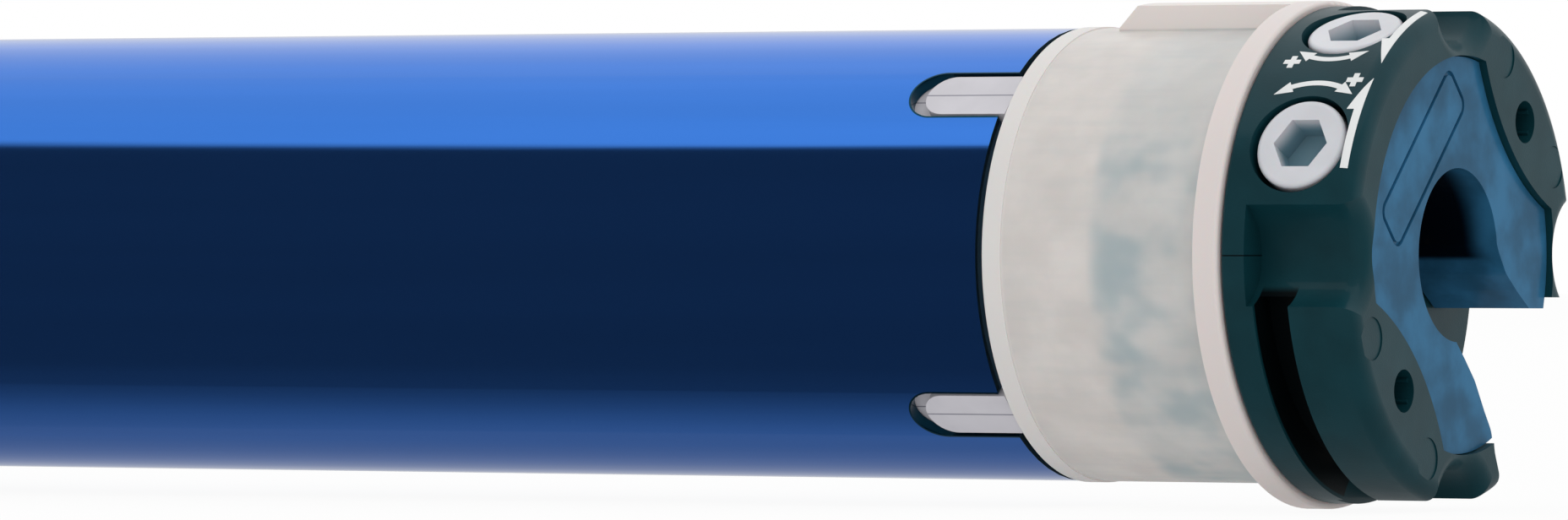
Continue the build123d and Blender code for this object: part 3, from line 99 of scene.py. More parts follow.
# A ring of bars whose gap has this half width keeps all of its bars
NO_GAP = -1.0

log = logging.getLogger("motor")


def find_socket(sockets: Sequence[Socket], key: Union[int, str]) -> Socket:
    """Finds a socket by its place, its identifier or its name.

    Args:
        sockets: The node's inputs or outputs.
        key: Place, identifier or name.

    Returns:
        The socket.
    """
    if isinstance(key, int):
        return sockets[key]
    for socket in sockets:
        if socket.identifier == key:
            return socket
    return sockets[key]


class NodeGraph:
    """A node tree that is filled by one generic method."""

    def __init__(self, tree: bpy.types.NodeTree) -> None:
        """Takes the tree and clears it."""
        self.tree = tree
        tree.nodes.clear()

    def node(
        self,
        kind: str,
        settings: Mapping[str, object] | None = None,
        values: Mapping[Union[int, str], object] | None = None,
    ) -> bpy.types.Node:
        """Makes one node, sets it up and links it.

        Args:
            kind: The node's type name.
            settings: Properties that are set first, such as a Math node's operation.
            values: What each input gets: a number, a tuple, a socket or a Term.

        Returns:
            The new node.
        """
        made = self.tree.nodes.new(kind)
        for key, value in (settings or {}).items():
            setattr(made, key, value)
        for key, value in (values or {}).items():
            socket = find_socket(made.inputs, key)
            if isinstance(value, Term):
                value = value.socket
            if isinstance(value, Socket):
                self.tree.links.new(value, socket)
            elif socket.type == "RGBA" and len(value) == 3:
                socket.default_value = (*value, 1.0)
            else:
                socket.default_value = value
        return made

    def term(self, kind: str, out: Union[int, str] = 0, **parts: object) -> "Term":
        """Makes a node of node()'s settings and values, and wraps one of its outputs."""
        made = self.node(kind, parts.get("settings"), parts.get("values"))
        return Term(self, find_socket(made.outputs, out))

    def blend(self, factor: Number, low: object, high: object) -> Socket:
        """Mixes two colours.

        Args:
            factor: 0 gives low and 1 gives high.
            low: A colour or a socket.
            high: A colour or a socket.

        Returns:
            The mixed colour's socket.
        """
        values = {"Factor_Float": factor, "A_Color": low, "B_Color": high}
        made = self.node("ShaderNodeMix", {"data_type": "RGBA", "clamp_factor": True}, values)
        return find_socket(made.outputs, "Result_Color")

    def split(self, vector: object) -> tuple["Term", "Term", "Term"]:
        """Splits a vector into its three terms."""
        made = self.node("ShaderNodeSeparateXYZ", values={0: vector})
        return tuple(Term(self, socket) for socket in made.outputs)


class Term:
    """A number in a node tree. Python's operators on it add Math nodes."""

    def __init__(self, graph: NodeGraph, socket: Socket) -> None:
        """Wraps a socket of a graph."""
        self.graph = graph
        self.socket = socket

    def math(self, operation: str, *others: Number, first: Number | None = None) -> "Term":
        """Adds one Math node on this term and the others. The reflected forms put a first value before it."""
        inputs = (self, *others) if first is None else (first, self, *others)
        return self.graph.term(
            "ShaderNodeMath", settings={"operation": operation}, values=dict(enumerate(inputs))
        )

    def __add__(self, other: Number) -> "Term":
        """Sum."""
        return self.math("ADD", other)

    def __sub__(self, other: Number) -> "Term":
        """Difference."""
        return self.math("SUBTRACT", other)

    def __rsub__(self, other: Number) -> "Term":
        """Difference from a plain number."""
        return self.math("SUBTRACT", first=other)

    def __mul__(self, other: Number) -> "Term":
        """Product."""
        return self.math("MULTIPLY", other)

    def __truediv__(self, other: Number) -> "Term":
        """Quotient."""
        return self.math("DIVIDE", other)

    def __rtruediv__(self, other: Number) -> "Term":
        """Quotient of a plain number."""
        return self.math("DIVIDE", first=other)

    def __pow__(self, other: Number) -> "Term":
        """Power."""
        return self.math("POWER", other)

    def __abs__(self) -> "Term":
        """Size without its sign."""
        return self.math("ABSOLUTE")

    __radd__ = __add__
    __rmul__ = __mul__

    def sin(self) -> "Term":
        """Sine of an angle in radians."""
        return self.math("SINE")

    def cos(self) -> "Term":
        """Cosine of an angle in radians."""
        return self.math("COSINE")

    def atan2(self, other: Number) -> "Term":
        """Angle in radians of the point (other, self)."""
        return self.math("ARCTAN2", other)

    def reach(self, other: "Term") -> "Term":
        """Distance of the point (self, other) from the origin."""
        return (self * self + other * other) ** 0.5

    def least(self, other: Number) -> "Term":
        """The smaller of two."""
        return self.math("MINIMUM", other)

    def step(self, low: float, high: float) -> "Term":
        """Rises smoothly from 0 at low to 1 at high, and falls where low is the larger.

        Args:
            low: Where the result is 0.
            high: Where the result is 1.

        Returns:
            The smooth step.
        """
        ends = (low, high, 0.0, 1.0) if low < high else (high, low, 1.0, 0.0)
        settings = {"interpolation_type": "SMOOTHSTEP"}
        values = {"Value": self, **dict(enumerate(ends, start=1))}
        return self.graph.term("ShaderNodeMapRange", settings=settings, values=values)


class Metalness(Enum):
    """What a finish is made of, as the shader's metallic value."""

    PLASTIC = 0.0
    LACQUER = 0.98
    METAL = 1.0


@dataclass(frozen=True)
class Finish:
    """A finish with mottled colour, uneven gloss and a fine grain, in the surface's own scale."""

    name: str
    color: Color
    roughness: float = 0.45
    base: Metalness = Metalness.PLASTIC
    mottle: float = 0.12
    grain: float = 0.25
    grain_size: float = 0.35 * MM
    stretch: Color = (1.0, 1.0, 1.0)
    coat: float = 0.0
    coat_roughness: float = 0.04
    subsurface: float = 0.0
    specular: float = 0.5
    patch_size: float = 6 * MM
    patch_edges: Point = (0.3, 0.7)
    gloss_size: float = 2.5 * MM
    gloss_least: float = 0.85
    gloss_spread: float = 0.3
    grain_depth: float = 0.02 * MM
    scatter_depth: float = 2 * MM

    def make(self) -> bpy.types.Material:
        """Builds the material.

        Returns:
            The material.
        """
        material = bpy.data.materials.new(self.name)
        material.use_nodes = True
        graph = NodeGraph(material.node_tree)
        self.finish(graph)
        return material

    def place(self, graph: NodeGraph) -> Socket:
        """Socket with the place on the piece, in metres."""
        return graph.node("ShaderNodeTexCoord").outputs["Object"]

    def noise(self, graph: NodeGraph, size: float, detail: float = 3.0, stretch: Color | None = None) -> Term:
        """Noise from 0 to 1, with features of one size in metres, some finer layers and a stretch by axis."""
        scale = {"Vector": self.place(graph), "Scale": stretch or self.stretch}
        scaled = graph.node("ShaderNodeMapping", values=scale).outputs[0]
        layers = {"Vector": scaled, "Scale": 1 / size, "Detail": detail}
        return graph.term("ShaderNodeTexNoise", values=layers)

    def tint(self, graph: NodeGraph) -> object:
        """Colour over the surface: the finish's own colour, a little darker and lighter in soft patches.

        Args:
            graph: The material's graph.

        Returns:
            The colour's socket.
        """
        patches = self.noise(graph, self.patch_size, detail=4.0)
        darker = tuple(c * (1 - self.mottle) for c in self.color)
        lighter = tuple(min(1.0, c * (1 + self.mottle)) for c in self.color)
        return graph.blend(patches.step(*self.patch_edges), darker, lighter)

    def height(self, graph: NodeGraph) -> Term:
        """Height of the fine grain."""
        return self.noise(graph, self.grain_size, detail=2.0)

    def gloss(self, graph: NodeGraph) -> Number:
        """Roughness over the surface."""
        uneven = self.noise(graph, self.gloss_size) * (self.gloss_spread * self.roughness)
        return uneven + self.gloss_least * self.roughness

    def finish(self, graph: NodeGraph) -> None:
        """Puts the shader together.

        Args:
            graph: The material's graph.
        """
        values = {
            "Base Color": self.tint(graph),
            "Roughness": self.gloss(graph),
            "Metallic": self.base.value,
            "Coat Weight": self.coat,
            "Coat Roughness": self.coat_roughness,
            "Specular IOR Level": self.specular,
        }
        if self.subsurface:
            values["Subsurface Weight"] = self.subsurface
            values["Subsurface Scale"] = self.scatter_depth
        if self.grain:
            bump = {"Height": self.height(graph), "Strength": self.grain, "Distance": self.grain_depth}
            values["Normal"] = graph.node("ShaderNodeBump", values=bump).outputs[0]
        shader = graph.node("ShaderNodeBsdfPrincipled", values=values)
        graph.node("ShaderNodeOutputMaterial", values={"Surface": shader.outputs[0]})


@dataclass(frozen=True)
class TubeLacquer(Finish):
    """Blue lacquer over drawn steel with faint lines along the tube. Its slot walls, a fine line round the
    slots, the cut front edge and the inside are painted dark as painted shade.
    """

    # dark navy of the painted shade on the slot edges, the cut front edge and the inside
    edge_shade_color: Color = (0.005, 0.055, 0.095)
    cut_front: float = 0.0
    slot_length: float = 10.8 * MM
    slot_width: float = 6.0 * MM
    slot_angle: float = 45.0
    slot_count: int = 4
    edge_width: float = 0.16 * MM
    edge_fade: float = 1.3
    inside_radius: float = 22.3 * MM
    cut_start: float = 0.05 * MM
    cut_full: float = 0.02 * MM

    def slot_edge(self, graph: NodeGraph) -> Term:
        """Marks the walls of the slots in the tube's end and a fine line round them, where painted shade
        goes.

        Args:
            graph: The material's graph.

        Returns:
            1 on the slots' edges.
        """
        x, y, z = graph.split(self.place(graph))
        share = FULL_TURN / self.slot_count
        turn = z.atan2(y) - math.radians(self.slot_angle)
        turn = turn - (turn / share).math("ROUND") * share
        across = turn.sin() * y.reach(z)
        half = self.slot_width / 2
        back = self.cut_front - self.slot_length + half
        beyond = (x - back).least(0.0)
        near = abs(across.reach(beyond) - half).step(self.edge_width * self.edge_fade, self.edge_width)
        return near * x.step(back - 2 * half, back - 1.5 * half)

    def tint(self, graph: NodeGraph) -> object:
        """Lacquer colour with painted shade on the slot edges, the cut front edge and the inside."""
        x, y, z = graph.split(self.place(graph))
        lacquer = super().tint(graph)
        front = x.step(self.cut_front - self.cut_start, self.cut_front - self.cut_full)
        inside = y.reach(z).step(self.inside_radius, self.inside_radius - self.cut_start)
        # painted shade: the slot walls and outlines, the cut front edge and the inside turn dark navy
        return graph.blend(self.slot_edge(graph) + front + inside, lacquer, self.edge_shade_color)


@dataclass(frozen=True)
class CrownNylon(Finish):
    """Milky nylon. Soft bluish shadows lie in the wall, and the flange, the key and the lip are opaque."""

    flange_color: Color = (0.80, 0.73, 0.71)
    key_color: Color = (0.86, 0.80, 0.77)
    lip_color: Color = (0.80, 0.77, 0.75)
    shadow_color: Color = (0.30, 0.42, 0.46)
    key_foot: float = 22.62 * MM
    flange_back: float = 0.0
    lip_front: float = 0.0
    neck_back: float = -29.5 * MM
    neck_fade: Point = (1.5 * MM, 2.5 * MM)
    neck_shade: float = 0.20
    shadow_middle: float = 0.40
    shadow_reach: float = 0.58
    shadow_heights: Point = (21 * MM, 8 * MM)
    shadow_depth: float = 0.62
    blotch_size: float = 9 * MM
    blotch_share: float = 0.7
    blotch_edges: Point = (0.42, 0.68)
    speck_size: float = 3.4 * MM
    streak_size: float = 1.2 * MM
    streak_edges: Point = (0.35, 0.8)
    streak_shade: float = 0.10
    lip_fade: Point = (0.35 * MM, 0.05 * MM)
    key_fade: float = 0.15 * MM
    flange_fade: float = 0.05 * MM

    def tint(self, graph: NodeGraph) -> object:
        """Colour from the flange over the milky wall to the lip."""
        x, y, z = graph.split(self.place(graph))
        wall = super().tint(graph)
        middle = (self.flange_back + self.lip_front) / 2
        reach = (self.flange_back - self.lip_front) / 2
        centre = middle + self.shadow_middle * reach
        along = 1 - abs((x - centre) / (self.shadow_reach * reach)) ** 4
        large = self.noise(graph, self.blotch_size, detail=2.0, stretch=(0.9, 1.0, 1.5)) * self.blotch_share
        blotches = large + self.noise(graph, self.speck_size, detail=1.0) * (1 - self.blotch_share)
        shadow = blotches.step(*self.blotch_edges) * along.step(0.0, 0.9)
        height = z.step(*self.shadow_heights)
        wall = graph.blend(shadow * height * self.shadow_depth, wall, self.shadow_color)
        neck = x.step(self.neck_back - self.neck_fade[0], self.neck_back + self.neck_fade[1])
        wall = graph.blend(neck * self.neck_shade, wall, self.shadow_color)
        streaks = self.noise(graph, self.streak_size, detail=2.0, stretch=(0.15, 1.0, 1.0))
        wall = graph.blend(streaks.step(*self.streak_edges) * self.streak_shade, wall, self.shadow_color)
        lip = x.step(self.lip_front + self.lip_fade[0], self.lip_front - self.lip_fade[1])
        wall = graph.blend(lip, wall, self.lip_color)
        raised = y.reach(z).step(self.key_foot, self.key_foot + self.key_fade)
        wall = graph.blend(raised, wall, self.key_color)
        flange = x.step(self.flange_back - self.flange_fade, self.flange_back + self.flange_fade)
        return graph.blend(flange, wall, self.flange_color)


@dataclass(frozen=True)
class SeamedPlastic(Finish):
    """Moulded plastic with a fine parting line where the given planes through the axis cut it."""

    seam_color: Color = (0.3, 0.3, 0.32)
    seam_width: float = 0.11 * MM
    seam_core: float = 0.3
    seam_start: float = 1 * MM
    seam_directions: tuple[float, ...] = ()

    def tint(self, graph: NodeGraph) -> object:
        """Plastic colour with its parting lines."""
        colour = super().tint(graph)
        _, y, z = graph.split(self.place(graph))
        for direction in self.seam_directions:
            turn = math.radians(direction)
            across = abs(z * math.cos(turn) - y * math.sin(turn))
            outside = (y * math.cos(turn) + z * math.sin(turn)).step(0.0, self.seam_start)
            line = across.step(self.seam_width, self.seam_core * self.seam_width) * outside
            colour = graph.blend(line, colour, self.seam_color)
        return colour


@dataclass(frozen=True)
class HousingPlastic(Finish):
    """Dark grained plastic, with painted shade in the grip slot round its back."""

    slot_front: float = -6.9 * MM
    slot_back: float = -10.9 * MM
    slot_radius: float = 24.1 * MM
    slot_floor: float = 20.3 * MM
    end_places: tuple[float, float] = (60e-6, 80e-6)
    slot_fade: float = 0.1 * MM
    radius_fade: float = 0.15 * MM
    # colour of the painted shade inside the grip slot
    dark: Color = (0.001, 0.003, 0.004)

    def tint(self, graph: NodeGraph) -> object:
        """Plastic colour, with painted shade inside the slot."""
        x, y, z = graph.split(self.place(graph))
        reach = y.reach(z)
        behind_front = x.step(self.slot_front, self.slot_front - self.slot_fade)
        band = x.step(self.slot_back, self.slot_back + self.slot_fade) * behind_front
        inside = reach.step(self.slot_radius, self.slot_radius - self.radius_fade)
        inside = inside * reach.step(self.slot_floor - self.slot_fade, self.slot_floor + self.slot_fade)
        between_ends = (y * z).step(*self.end_places)
        # painted shade: the recess of the grip slot turns near black
        return graph.blend(band * inside * between_ends, super().tint(graph), self.dark)


@dataclass(frozen=True)
class InsertPlastic(Finish):
    """Glossy blue plastic, with painted shade that darkens it down the centre opening."""

    opening_radius: float = 9.6 * MM
    # colour of the painted shade deep in the centre opening
    dark: Color = (0.001, 0.003, 0.007)
    mouth: float = -1.4 * MM
    deep: float = -4.5 * MM
    opening_fade: float = 0.5 * MM

    def tint(self, graph: NodeGraph) -> object:
        """Blue with painted shade that fades it to near black with the depth."""
        x, y, z = graph.split(self.place(graph))
        depth = x.step(self.mouth, self.deep)
        inside = y.reach(z).step(self.opening_radius, self.opening_radius - self.opening_fade)
        # painted shade: the opening's walls darken with the depth
        return graph.blend(depth * inside, super().tint(graph), self.dark)


@dataclass(frozen=True)
class ButtonNylon(Finish):
    """White nylon whose socket lies in a bluish shade."""

    angles: tuple[float, ...] = ()
    top: float = 24.05 * MM
    shade: Color = (0.10, 0.26, 0.33)
    shade_start: float = 0.1 * MM
    shade_depth: float = 2.4 * MM
    shade_share: float = 0.85

    def tint(self, graph: NodeGraph) -> object:
        """White that turns bluish with the depth below the button's top."""
        _, y, z = graph.split(self.place(graph))
        heights = [y * math.cos(math.radians(a)) + z * math.sin(math.radians(a)) for a in self.angles]
        height = heights[0]
        for other in heights[1:]:
            height = height.math("MAXIMUM", other)
        deep = height.step(self.top - self.shade_start, self.top - self.shade_depth)
        return graph.blend(deep * self.shade_share, super().tint(graph), self.shade)


@dataclass(frozen=True)
class Laminated(Finish):
    """Stacked steel sheets: fine dark lines across the motor's axis."""

    sheet: float = 0.5 * MM
    joint_edges: Point = (0.6, 0.95)
    joint_share: float = 0.45

    def tint(self, graph: NodeGraph) -> object:
        """Steel colour with the joints between the sheets."""
        x, _, _ = graph.split(self.place(graph))
        wave = (x * (FULL_TURN / self.sheet)).sin()
        dark = tuple(self.joint_share * c for c in self.color)
        return graph.blend(wave.step(*self.joint_edges), super().tint(graph), dark)


@dataclass(frozen=True)
class WoundCopper(Finish):
    """Enamelled copper wire laid along the piece, as fine round strands."""

    wire: float = 0.6 * MM

    def height(self, graph: NodeGraph) -> Term:
        """Height of the strands round the axis."""
        _, y, z = graph.split(self.place(graph))
        return (y.reach(z) * (FULL_TURN / self.wire)).sin() * 0.5 + 0.5


@dataclass
class FinishShelf:
    """Every finish of the motor, made once and handed out by name."""

    tube_front: float
    flange_back: float
    lip_front: float
    button_angles: tuple[float, ...]
    made: dict[str, bpy.types.Material] = field(default_factory=dict)
    dressed: set[str] = field(default_factory=set)

    def finishes(self) -> list[Finish]:
        """The list of finishes."""
        metal, plastic = Metalness.METAL, Metalness.PLASTIC
        dark_plastic = {
            "color": (0.004, 0.040, 0.052), "roughness": 0.42, "mottle": 0.10, "grain": 0.6,
            "grain_size": 0.16 * MM, "coat": 0.12, "coat_roughness": 0.07, "specular": 0.16,
        }
        return [
            HousingPlastic("housing_plastic", **dark_plastic),
            SeamedPlastic(
                "neck_plastic", **dark_plastic,
                seam_color=(0.001, 0.006, 0.008), seam_directions=(180.0, 0.0),
            ),
            InsertPlastic(
                "insert_plastic", (0.026, 0.128, 0.245), 0.22, plastic, 0.30, 0.12, 1.4 * MM,
                specular=0.07, coat=0.03,
            ),
            TubeLacquer(
                "tube_lacquer", (0.045, 0.200, 0.700), 0.075, Metalness.LACQUER, 0.05, 0.05, 0.5 * MM,
                stretch=(0.02, 1.0, 1.0), coat=0.05, cut_front=self.tube_front,
            ),
            CrownNylon(
                "crown_nylon", (0.735, 0.695, 0.665), 0.38, plastic, 0.06, 0.15, 0.5 * MM,
                subsurface=0.15, flange_back=self.flange_back, lip_front=self.lip_front,
            ),
            SeamedPlastic(
                "white_nylon", (0.67, 0.655, 0.70), 0.36, plastic, 0.05, 0.15, 0.3 * MM,
                seam_directions=(45.0, 135.0, 225.0, 315.0), seam_color=(0.22, 0.22, 0.27),
            ),
            ButtonNylon(
                "button_nylon", (0.70, 0.71, 0.75), 0.32, plastic, 0.05, 0.12, 0.3 * MM,
                subsurface=0.1, angles=self.button_angles,
            ),
            Finish("black_plastic", (0.012, 0.012, 0.014), 0.45, plastic, 0.15, 0.4, 0.2 * MM),
            Finish("brass", (0.62, 0.42, 0.16), 0.28, metal, 0.10, 0.2, 0.3 * MM),
            Finish("zinc_steel", (0.52, 0.53, 0.55), 0.30, metal, 0.14, 0.25, 0.25 * MM, (0.1, 1.0, 1.0)),
            Finish("gear_steel", (0.33, 0.33, 0.35), 0.34, metal, 0.16, 0.3, 0.2 * MM),
            Laminated("core_steel", (0.26, 0.26, 0.28), 0.42, metal, 0.15, 0.3, 0.3 * MM),
            WoundCopper("copper", (0.62, 0.22, 0.08), 0.35, metal, 0.12, 0.8, coat=0.4),
            Finish("bronze", (0.42, 0.26, 0.10), 0.48, metal, 0.20, 0.4, 0.15 * MM),
            Finish("aluminium", (0.60, 0.61, 0.63), 0.42, metal, 0.12, 0.5, 0.25 * MM),
            Finish("wire_cover", (0.02, 0.02, 0.025), 0.50, plastic, 0.12, 0.2, 0.4 * MM),
            Finish("board", (0.02, 0.14, 0.05), 0.30, plastic, 0.15, 0.3, 0.5 * MM, coat=0.3),
            Finish("friction_lining", (0.05, 0.04, 0.03), 0.75, plastic, 0.35, 0.9, 0.3 * MM),
            Finish(
                "wheel_plastic", (0.018, 0.018, 0.020), 0.48, plastic, 0.20, 0.5, 0.22 * MM, (0.4, 1.0, 1.0),
            ),
            Finish("plunger_plastic", (0.45, 0.02, 0.015), 0.25, plastic, 0.08, 0.1, 0.4 * MM),
            Finish("print_ink", (0.86, 0.88, 0.88), 0.5, plastic, 0.04, 0.3, 0.12 * MM),
        ]

    def stock(self) -> None:
        """Makes every finish's material."""
        for finish in self.finishes():
            self.made[finish.name] = finish.make()
            log.info("finish %s", finish.name)

    def dress(self, frame: Mapping[str, object], looks: Mapping[str, str]) -> None:
        """Gives CAD nodes their finishes.

        Args:
            frame: The loaded frame.
            looks: The finish's name for each node's name.
        """
        for name, finish in looks.items():
            node = frame["nodes"][name]
            if not node.material_slots:
                node.data.materials.append(self.made[finish])
            for place in node.material_slots:
                place.material = self.made[finish]
            self.dressed.add(name)
            log.info("node %s in %s", name, finish)


@dataclass(frozen=True)
class GeometryRecipe:
    """A geometry tree with named inputs, which turns a seed mesh into a plain finished mesh."""

    name: str
    inputs: tuple[tuple[str, str], ...]

    def tree(self) -> bpy.types.GeometryNodeTree:
        """Makes the tree with its inputs, and asks build() for what is between them.

        Returns:
            The tree.
        """
        group = bpy.data.node_groups.new(self.name, "GeometryNodeTree")
        graph = NodeGraph(group)
        sockets = group.interface
        sockets.new_socket("Geometry", in_out="INPUT", socket_type="NodeSocketGeometry")
        for name, kind in self.inputs:
            sockets.new_socket(name, in_out="INPUT", socket_type=kind)
        sockets.new_socket("Geometry", in_out="OUTPUT", socket_type="NodeSocketGeometry")
        entry = graph.node("NodeGroupInput").outputs
        shape = self.build(graph, entry)
        real = graph.node("GeometryNodeRealizeInstances", values={"Geometry": shape}).outputs[0]
        paint = {"Geometry": real, "Material": entry["Material"]}
        painted = graph.node("GeometryNodeSetMaterial", values=paint)
        graph.node("NodeGroupOutput", values={"Geometry": painted.outputs[0]})
        return group

    def build(self, graph: NodeGraph, entry: bpy.types.NodeOutputs) -> Socket:
        """Fills the tree between its inputs and its end."""
        raise NotImplementedError

    def run(self, seed: bpy.types.Mesh, values: Mapping[str, object], name: str) -> bpy.types.Object:
        """Evaluates the tree on a seed mesh and keeps the result as a plain mesh.

        Args:
            seed: The mesh that the tree starts from.
            values: What each named input gets.
            name: The finished piece's name.

        Returns:
            The finished piece.
        """
        group = self.tree()
        holder = bpy.data.objects.new(name + ".seed", seed)
        bpy.context.scene.collection.objects.link(holder)
        modifier = holder.modifiers.new(self.name, "NODES")
        modifier.node_group = group
        for item in group.interface.items_tree:
            if item.in_out == "INPUT" and item.name in values:
                modifier[item.identifier] = values[item.name]
        bpy.context.view_layer.update()
        graph = bpy.context.evaluated_depsgraph_get()
        mesh = bpy.data.meshes.new_from_object(holder.evaluated_get(graph))
        mesh.name = name
        holder.modifiers.clear()
        bpy.data.objects.remove(holder)
        piece = bpy.data.objects.new(name, mesh)
        bpy.context.scene.collection.objects.link(piece)
        if not mesh.materials:
            mesh.materials.append(values["Material"])
        return piece


@dataclass(frozen=True)
class WrappedPrint(GeometryRecipe):
    """Wraps flat ink shapes onto the head's round side and over its rounded front edge."""

    name: str = "wrapped_print"
    inputs: tuple[tuple[str, str], ...] = (
        ("Radius", "NodeSocketFloat"),
        ("Edge radius", "NodeSocketFloat"),
        ("Thickness", "NodeSocketFloat"),
        ("Material", "NodeSocketMaterial"),
    )

    def build(self, graph: NodeGraph, entry: bpy.types.NodeOutputs) -> Socket:
        """Bends the flat mesh round the axis and extrudes it outwards.

        Args:
            graph: The tree's graph.
            entry: The tree's inputs.

        Returns:
            The geometry's socket.
        """
        fine = graph.node(
            "GeometryNodeSubdivideMesh", values={"Mesh": entry["Geometry"], "Level": 2}
        ).outputs[0]
        flat = graph.node("GeometryNodeInputPosition").outputs[0]
        x, arc, _ = graph.split(flat)
        radius, edge = Term(graph, entry["Radius"]), Term(graph, entry["Edge radius"])
        turn = arc / radius
        over = (x + edge).math("MAXIMUM", 0.0)
        reach = radius - edge + (edge * edge - over * over) ** 0.5
        place = graph.node(
            "ShaderNodeCombineXYZ", values={0: x, 1: turn.cos() * reach, 2: turn.sin() * reach}
        ).outputs[0]
        bent = graph.node("GeometryNodeSetPosition", values={"Geometry": fine, "Position": place}).outputs[0]
        wrapped = graph.node("GeometryNodeInputPosition").outputs[0]
        outward = graph.node(
            "ShaderNodeVectorMath", {"operation": "MULTIPLY"}, {0: wrapped, 1: (0.0, 1.0, 1.0)}
        ).outputs[0]
        unit = graph.node("ShaderNodeVectorMath", {"operation": "NORMALIZE"}, {0: outward}).outputs[0]
        lifted = graph.node(
            "GeometryNodeExtrudeMesh",
            {"mode": "FACES"},
            {"Mesh": bent, "Offset": unit, "Offset Scale": entry["Thickness"], "Individual": False},
        )
        return lifted.outputs["Mesh"]


@dataclass(frozen=True)
class RingOfBars(GeometryRecipe):
    """Sets a ring of like bars, lying along X, round each seed point, with a gap at its top and bottom."""

    name: str = "ring_of_bars"
    inputs: tuple[tuple[str, str], ...] = (
        ("Count", "NodeSocketInt"),
        ("Ring radius", "NodeSocketFloat"),
        ("Bar radius", "NodeSocketFloat"),
        ("Bar length", "NodeSocketFloat"),
        ("Sides", "NodeSocketInt"),
        ("Gap half width", "NodeSocketFloat"),
        ("Material", "NodeSocketMaterial"),
    )

    def build(self, graph: NodeGraph, entry: bpy.types.NodeOutputs) -> Socket:
        """Makes one bar, rings it and puts the ring on every seed point.

        Args:
            graph: The tree's graph.
            entry: The tree's inputs.

        Returns:
            The geometry's socket.
        """
        bar = graph.node(
            "GeometryNodeMeshCylinder",
            values={"Vertices": entry["Sides"], "Radius": entry["Bar radius"], "Depth": entry["Bar length"]},
        ).outputs["Mesh"]
        circle = graph.node(
            "GeometryNodeMeshCircle", values={"Vertices": entry["Count"], "Radius": entry["Ring radius"]}
        ).outputs[0]
        _, side, _ = graph.split(graph.node("GeometryNodeInputPosition").outputs[0])
        outside_gap = abs(side).math("GREATER_THAN", entry["Gap half width"])
        spots = {"Points": circle, "Selection": outside_gap, "Instance": bar}
        ring = graph.node("GeometryNodeInstanceOnPoints", values=spots).outputs[0]
        real = graph.node("GeometryNodeRealizeInstances", values={"Geometry": ring}).outputs[0]
        lying = graph.node(
            "GeometryNodeTransform", values={"Geometry": real, "Rotation": (0.0, math.pi / 2, 0.0)}
        ).outputs[0]
        return graph.node(
            "GeometryNodeInstanceOnPoints", values={"Points": entry["Geometry"], "Instance": lying}
        ).outputs[0]


def mesh_of(
    name: str, points: Sequence[Sequence[float]], faces: Sequence[Sequence[int]] = ()
) -> bpy.types.Mesh:
    """Makes a mesh from points and faces.

    Args:
        name: The mesh's name.
        points: Its vertices, in metres.
        faces: Its faces.

    Returns:
        The mesh.
    """
    mesh = bpy.data.meshes.new(name)
    mesh.from_pydata([tuple(p) for p in points], [], [tuple(f) for f in faces])
    mesh.update()
    return mesh


class Turn(Enum):
    """On which side of an adjuster its curved arrow lies."""

    BELOW = 1
    ABOVE = -1


@dataclass
class MarkSheet:
    """Flat ink shapes in millimetres: first along the axis, then round it."""

    points: list[tuple[float, float, float]] = field(default_factory=list)
    faces: list[tuple[int, ...]] = field(default_factory=list)

    def add(self, outline: Sequence[Point]) -> None:
        """Adds one face, turned so that it looks outwards once it is wrapped.

        Args:
            outline: The face's corners.
        """
        area = sum(a[0] * b[1] - b[0] * a[1] for a, b in zip(outline, [*outline[1:], outline[0]]))
        corners = list(outline) if area > 0 else list(reversed(outline))
        first = len(self.points)
        self.points += [(x * MM, s * MM, 0.0) for x, s in corners]
        self.faces.append(tuple(range(first, first + len(corners))))

    def stroke(self, line: Sequence[Point], width: float) -> None:
        """Adds a band along a line, as one quad for each step.

        Args:
            line: The points of its middle.
            width: Its width.
        """
        edges = []
        for index, (x, s) in enumerate(line):
            before, after = line[max(index - 1, 0)], line[min(index + 1, len(line) - 1)]
            dx, ds = after[0] - before[0], after[1] - before[1]
            size = math.hypot(dx, ds)
            nx, ns = -ds / size * width / 2, dx / size * width / 2
            edges.append(((x + nx, s + ns), (x - nx, s - ns)))
        for (a, b), (c, d) in zip(edges, edges[1:]):
            self.add((a, b, d, c))

    def head(self, tip: Point, direction: float, length: float, width: float) -> None:
        """Adds an arrowhead.

        Args:
            tip: Its point.
            direction: Where it points, in radians from the axis.
            length: Its length.
            width: Its width across the back.
        """
        ux, us = math.cos(direction), math.sin(direction)
        back = (tip[0] - ux * length, tip[1] - us * length)
        left = (back[0] - us * width / 2, back[1] + ux * width / 2)
        right = (back[0] + us * width / 2, back[1] - ux * width / 2)
        self.add((tip, left, right))


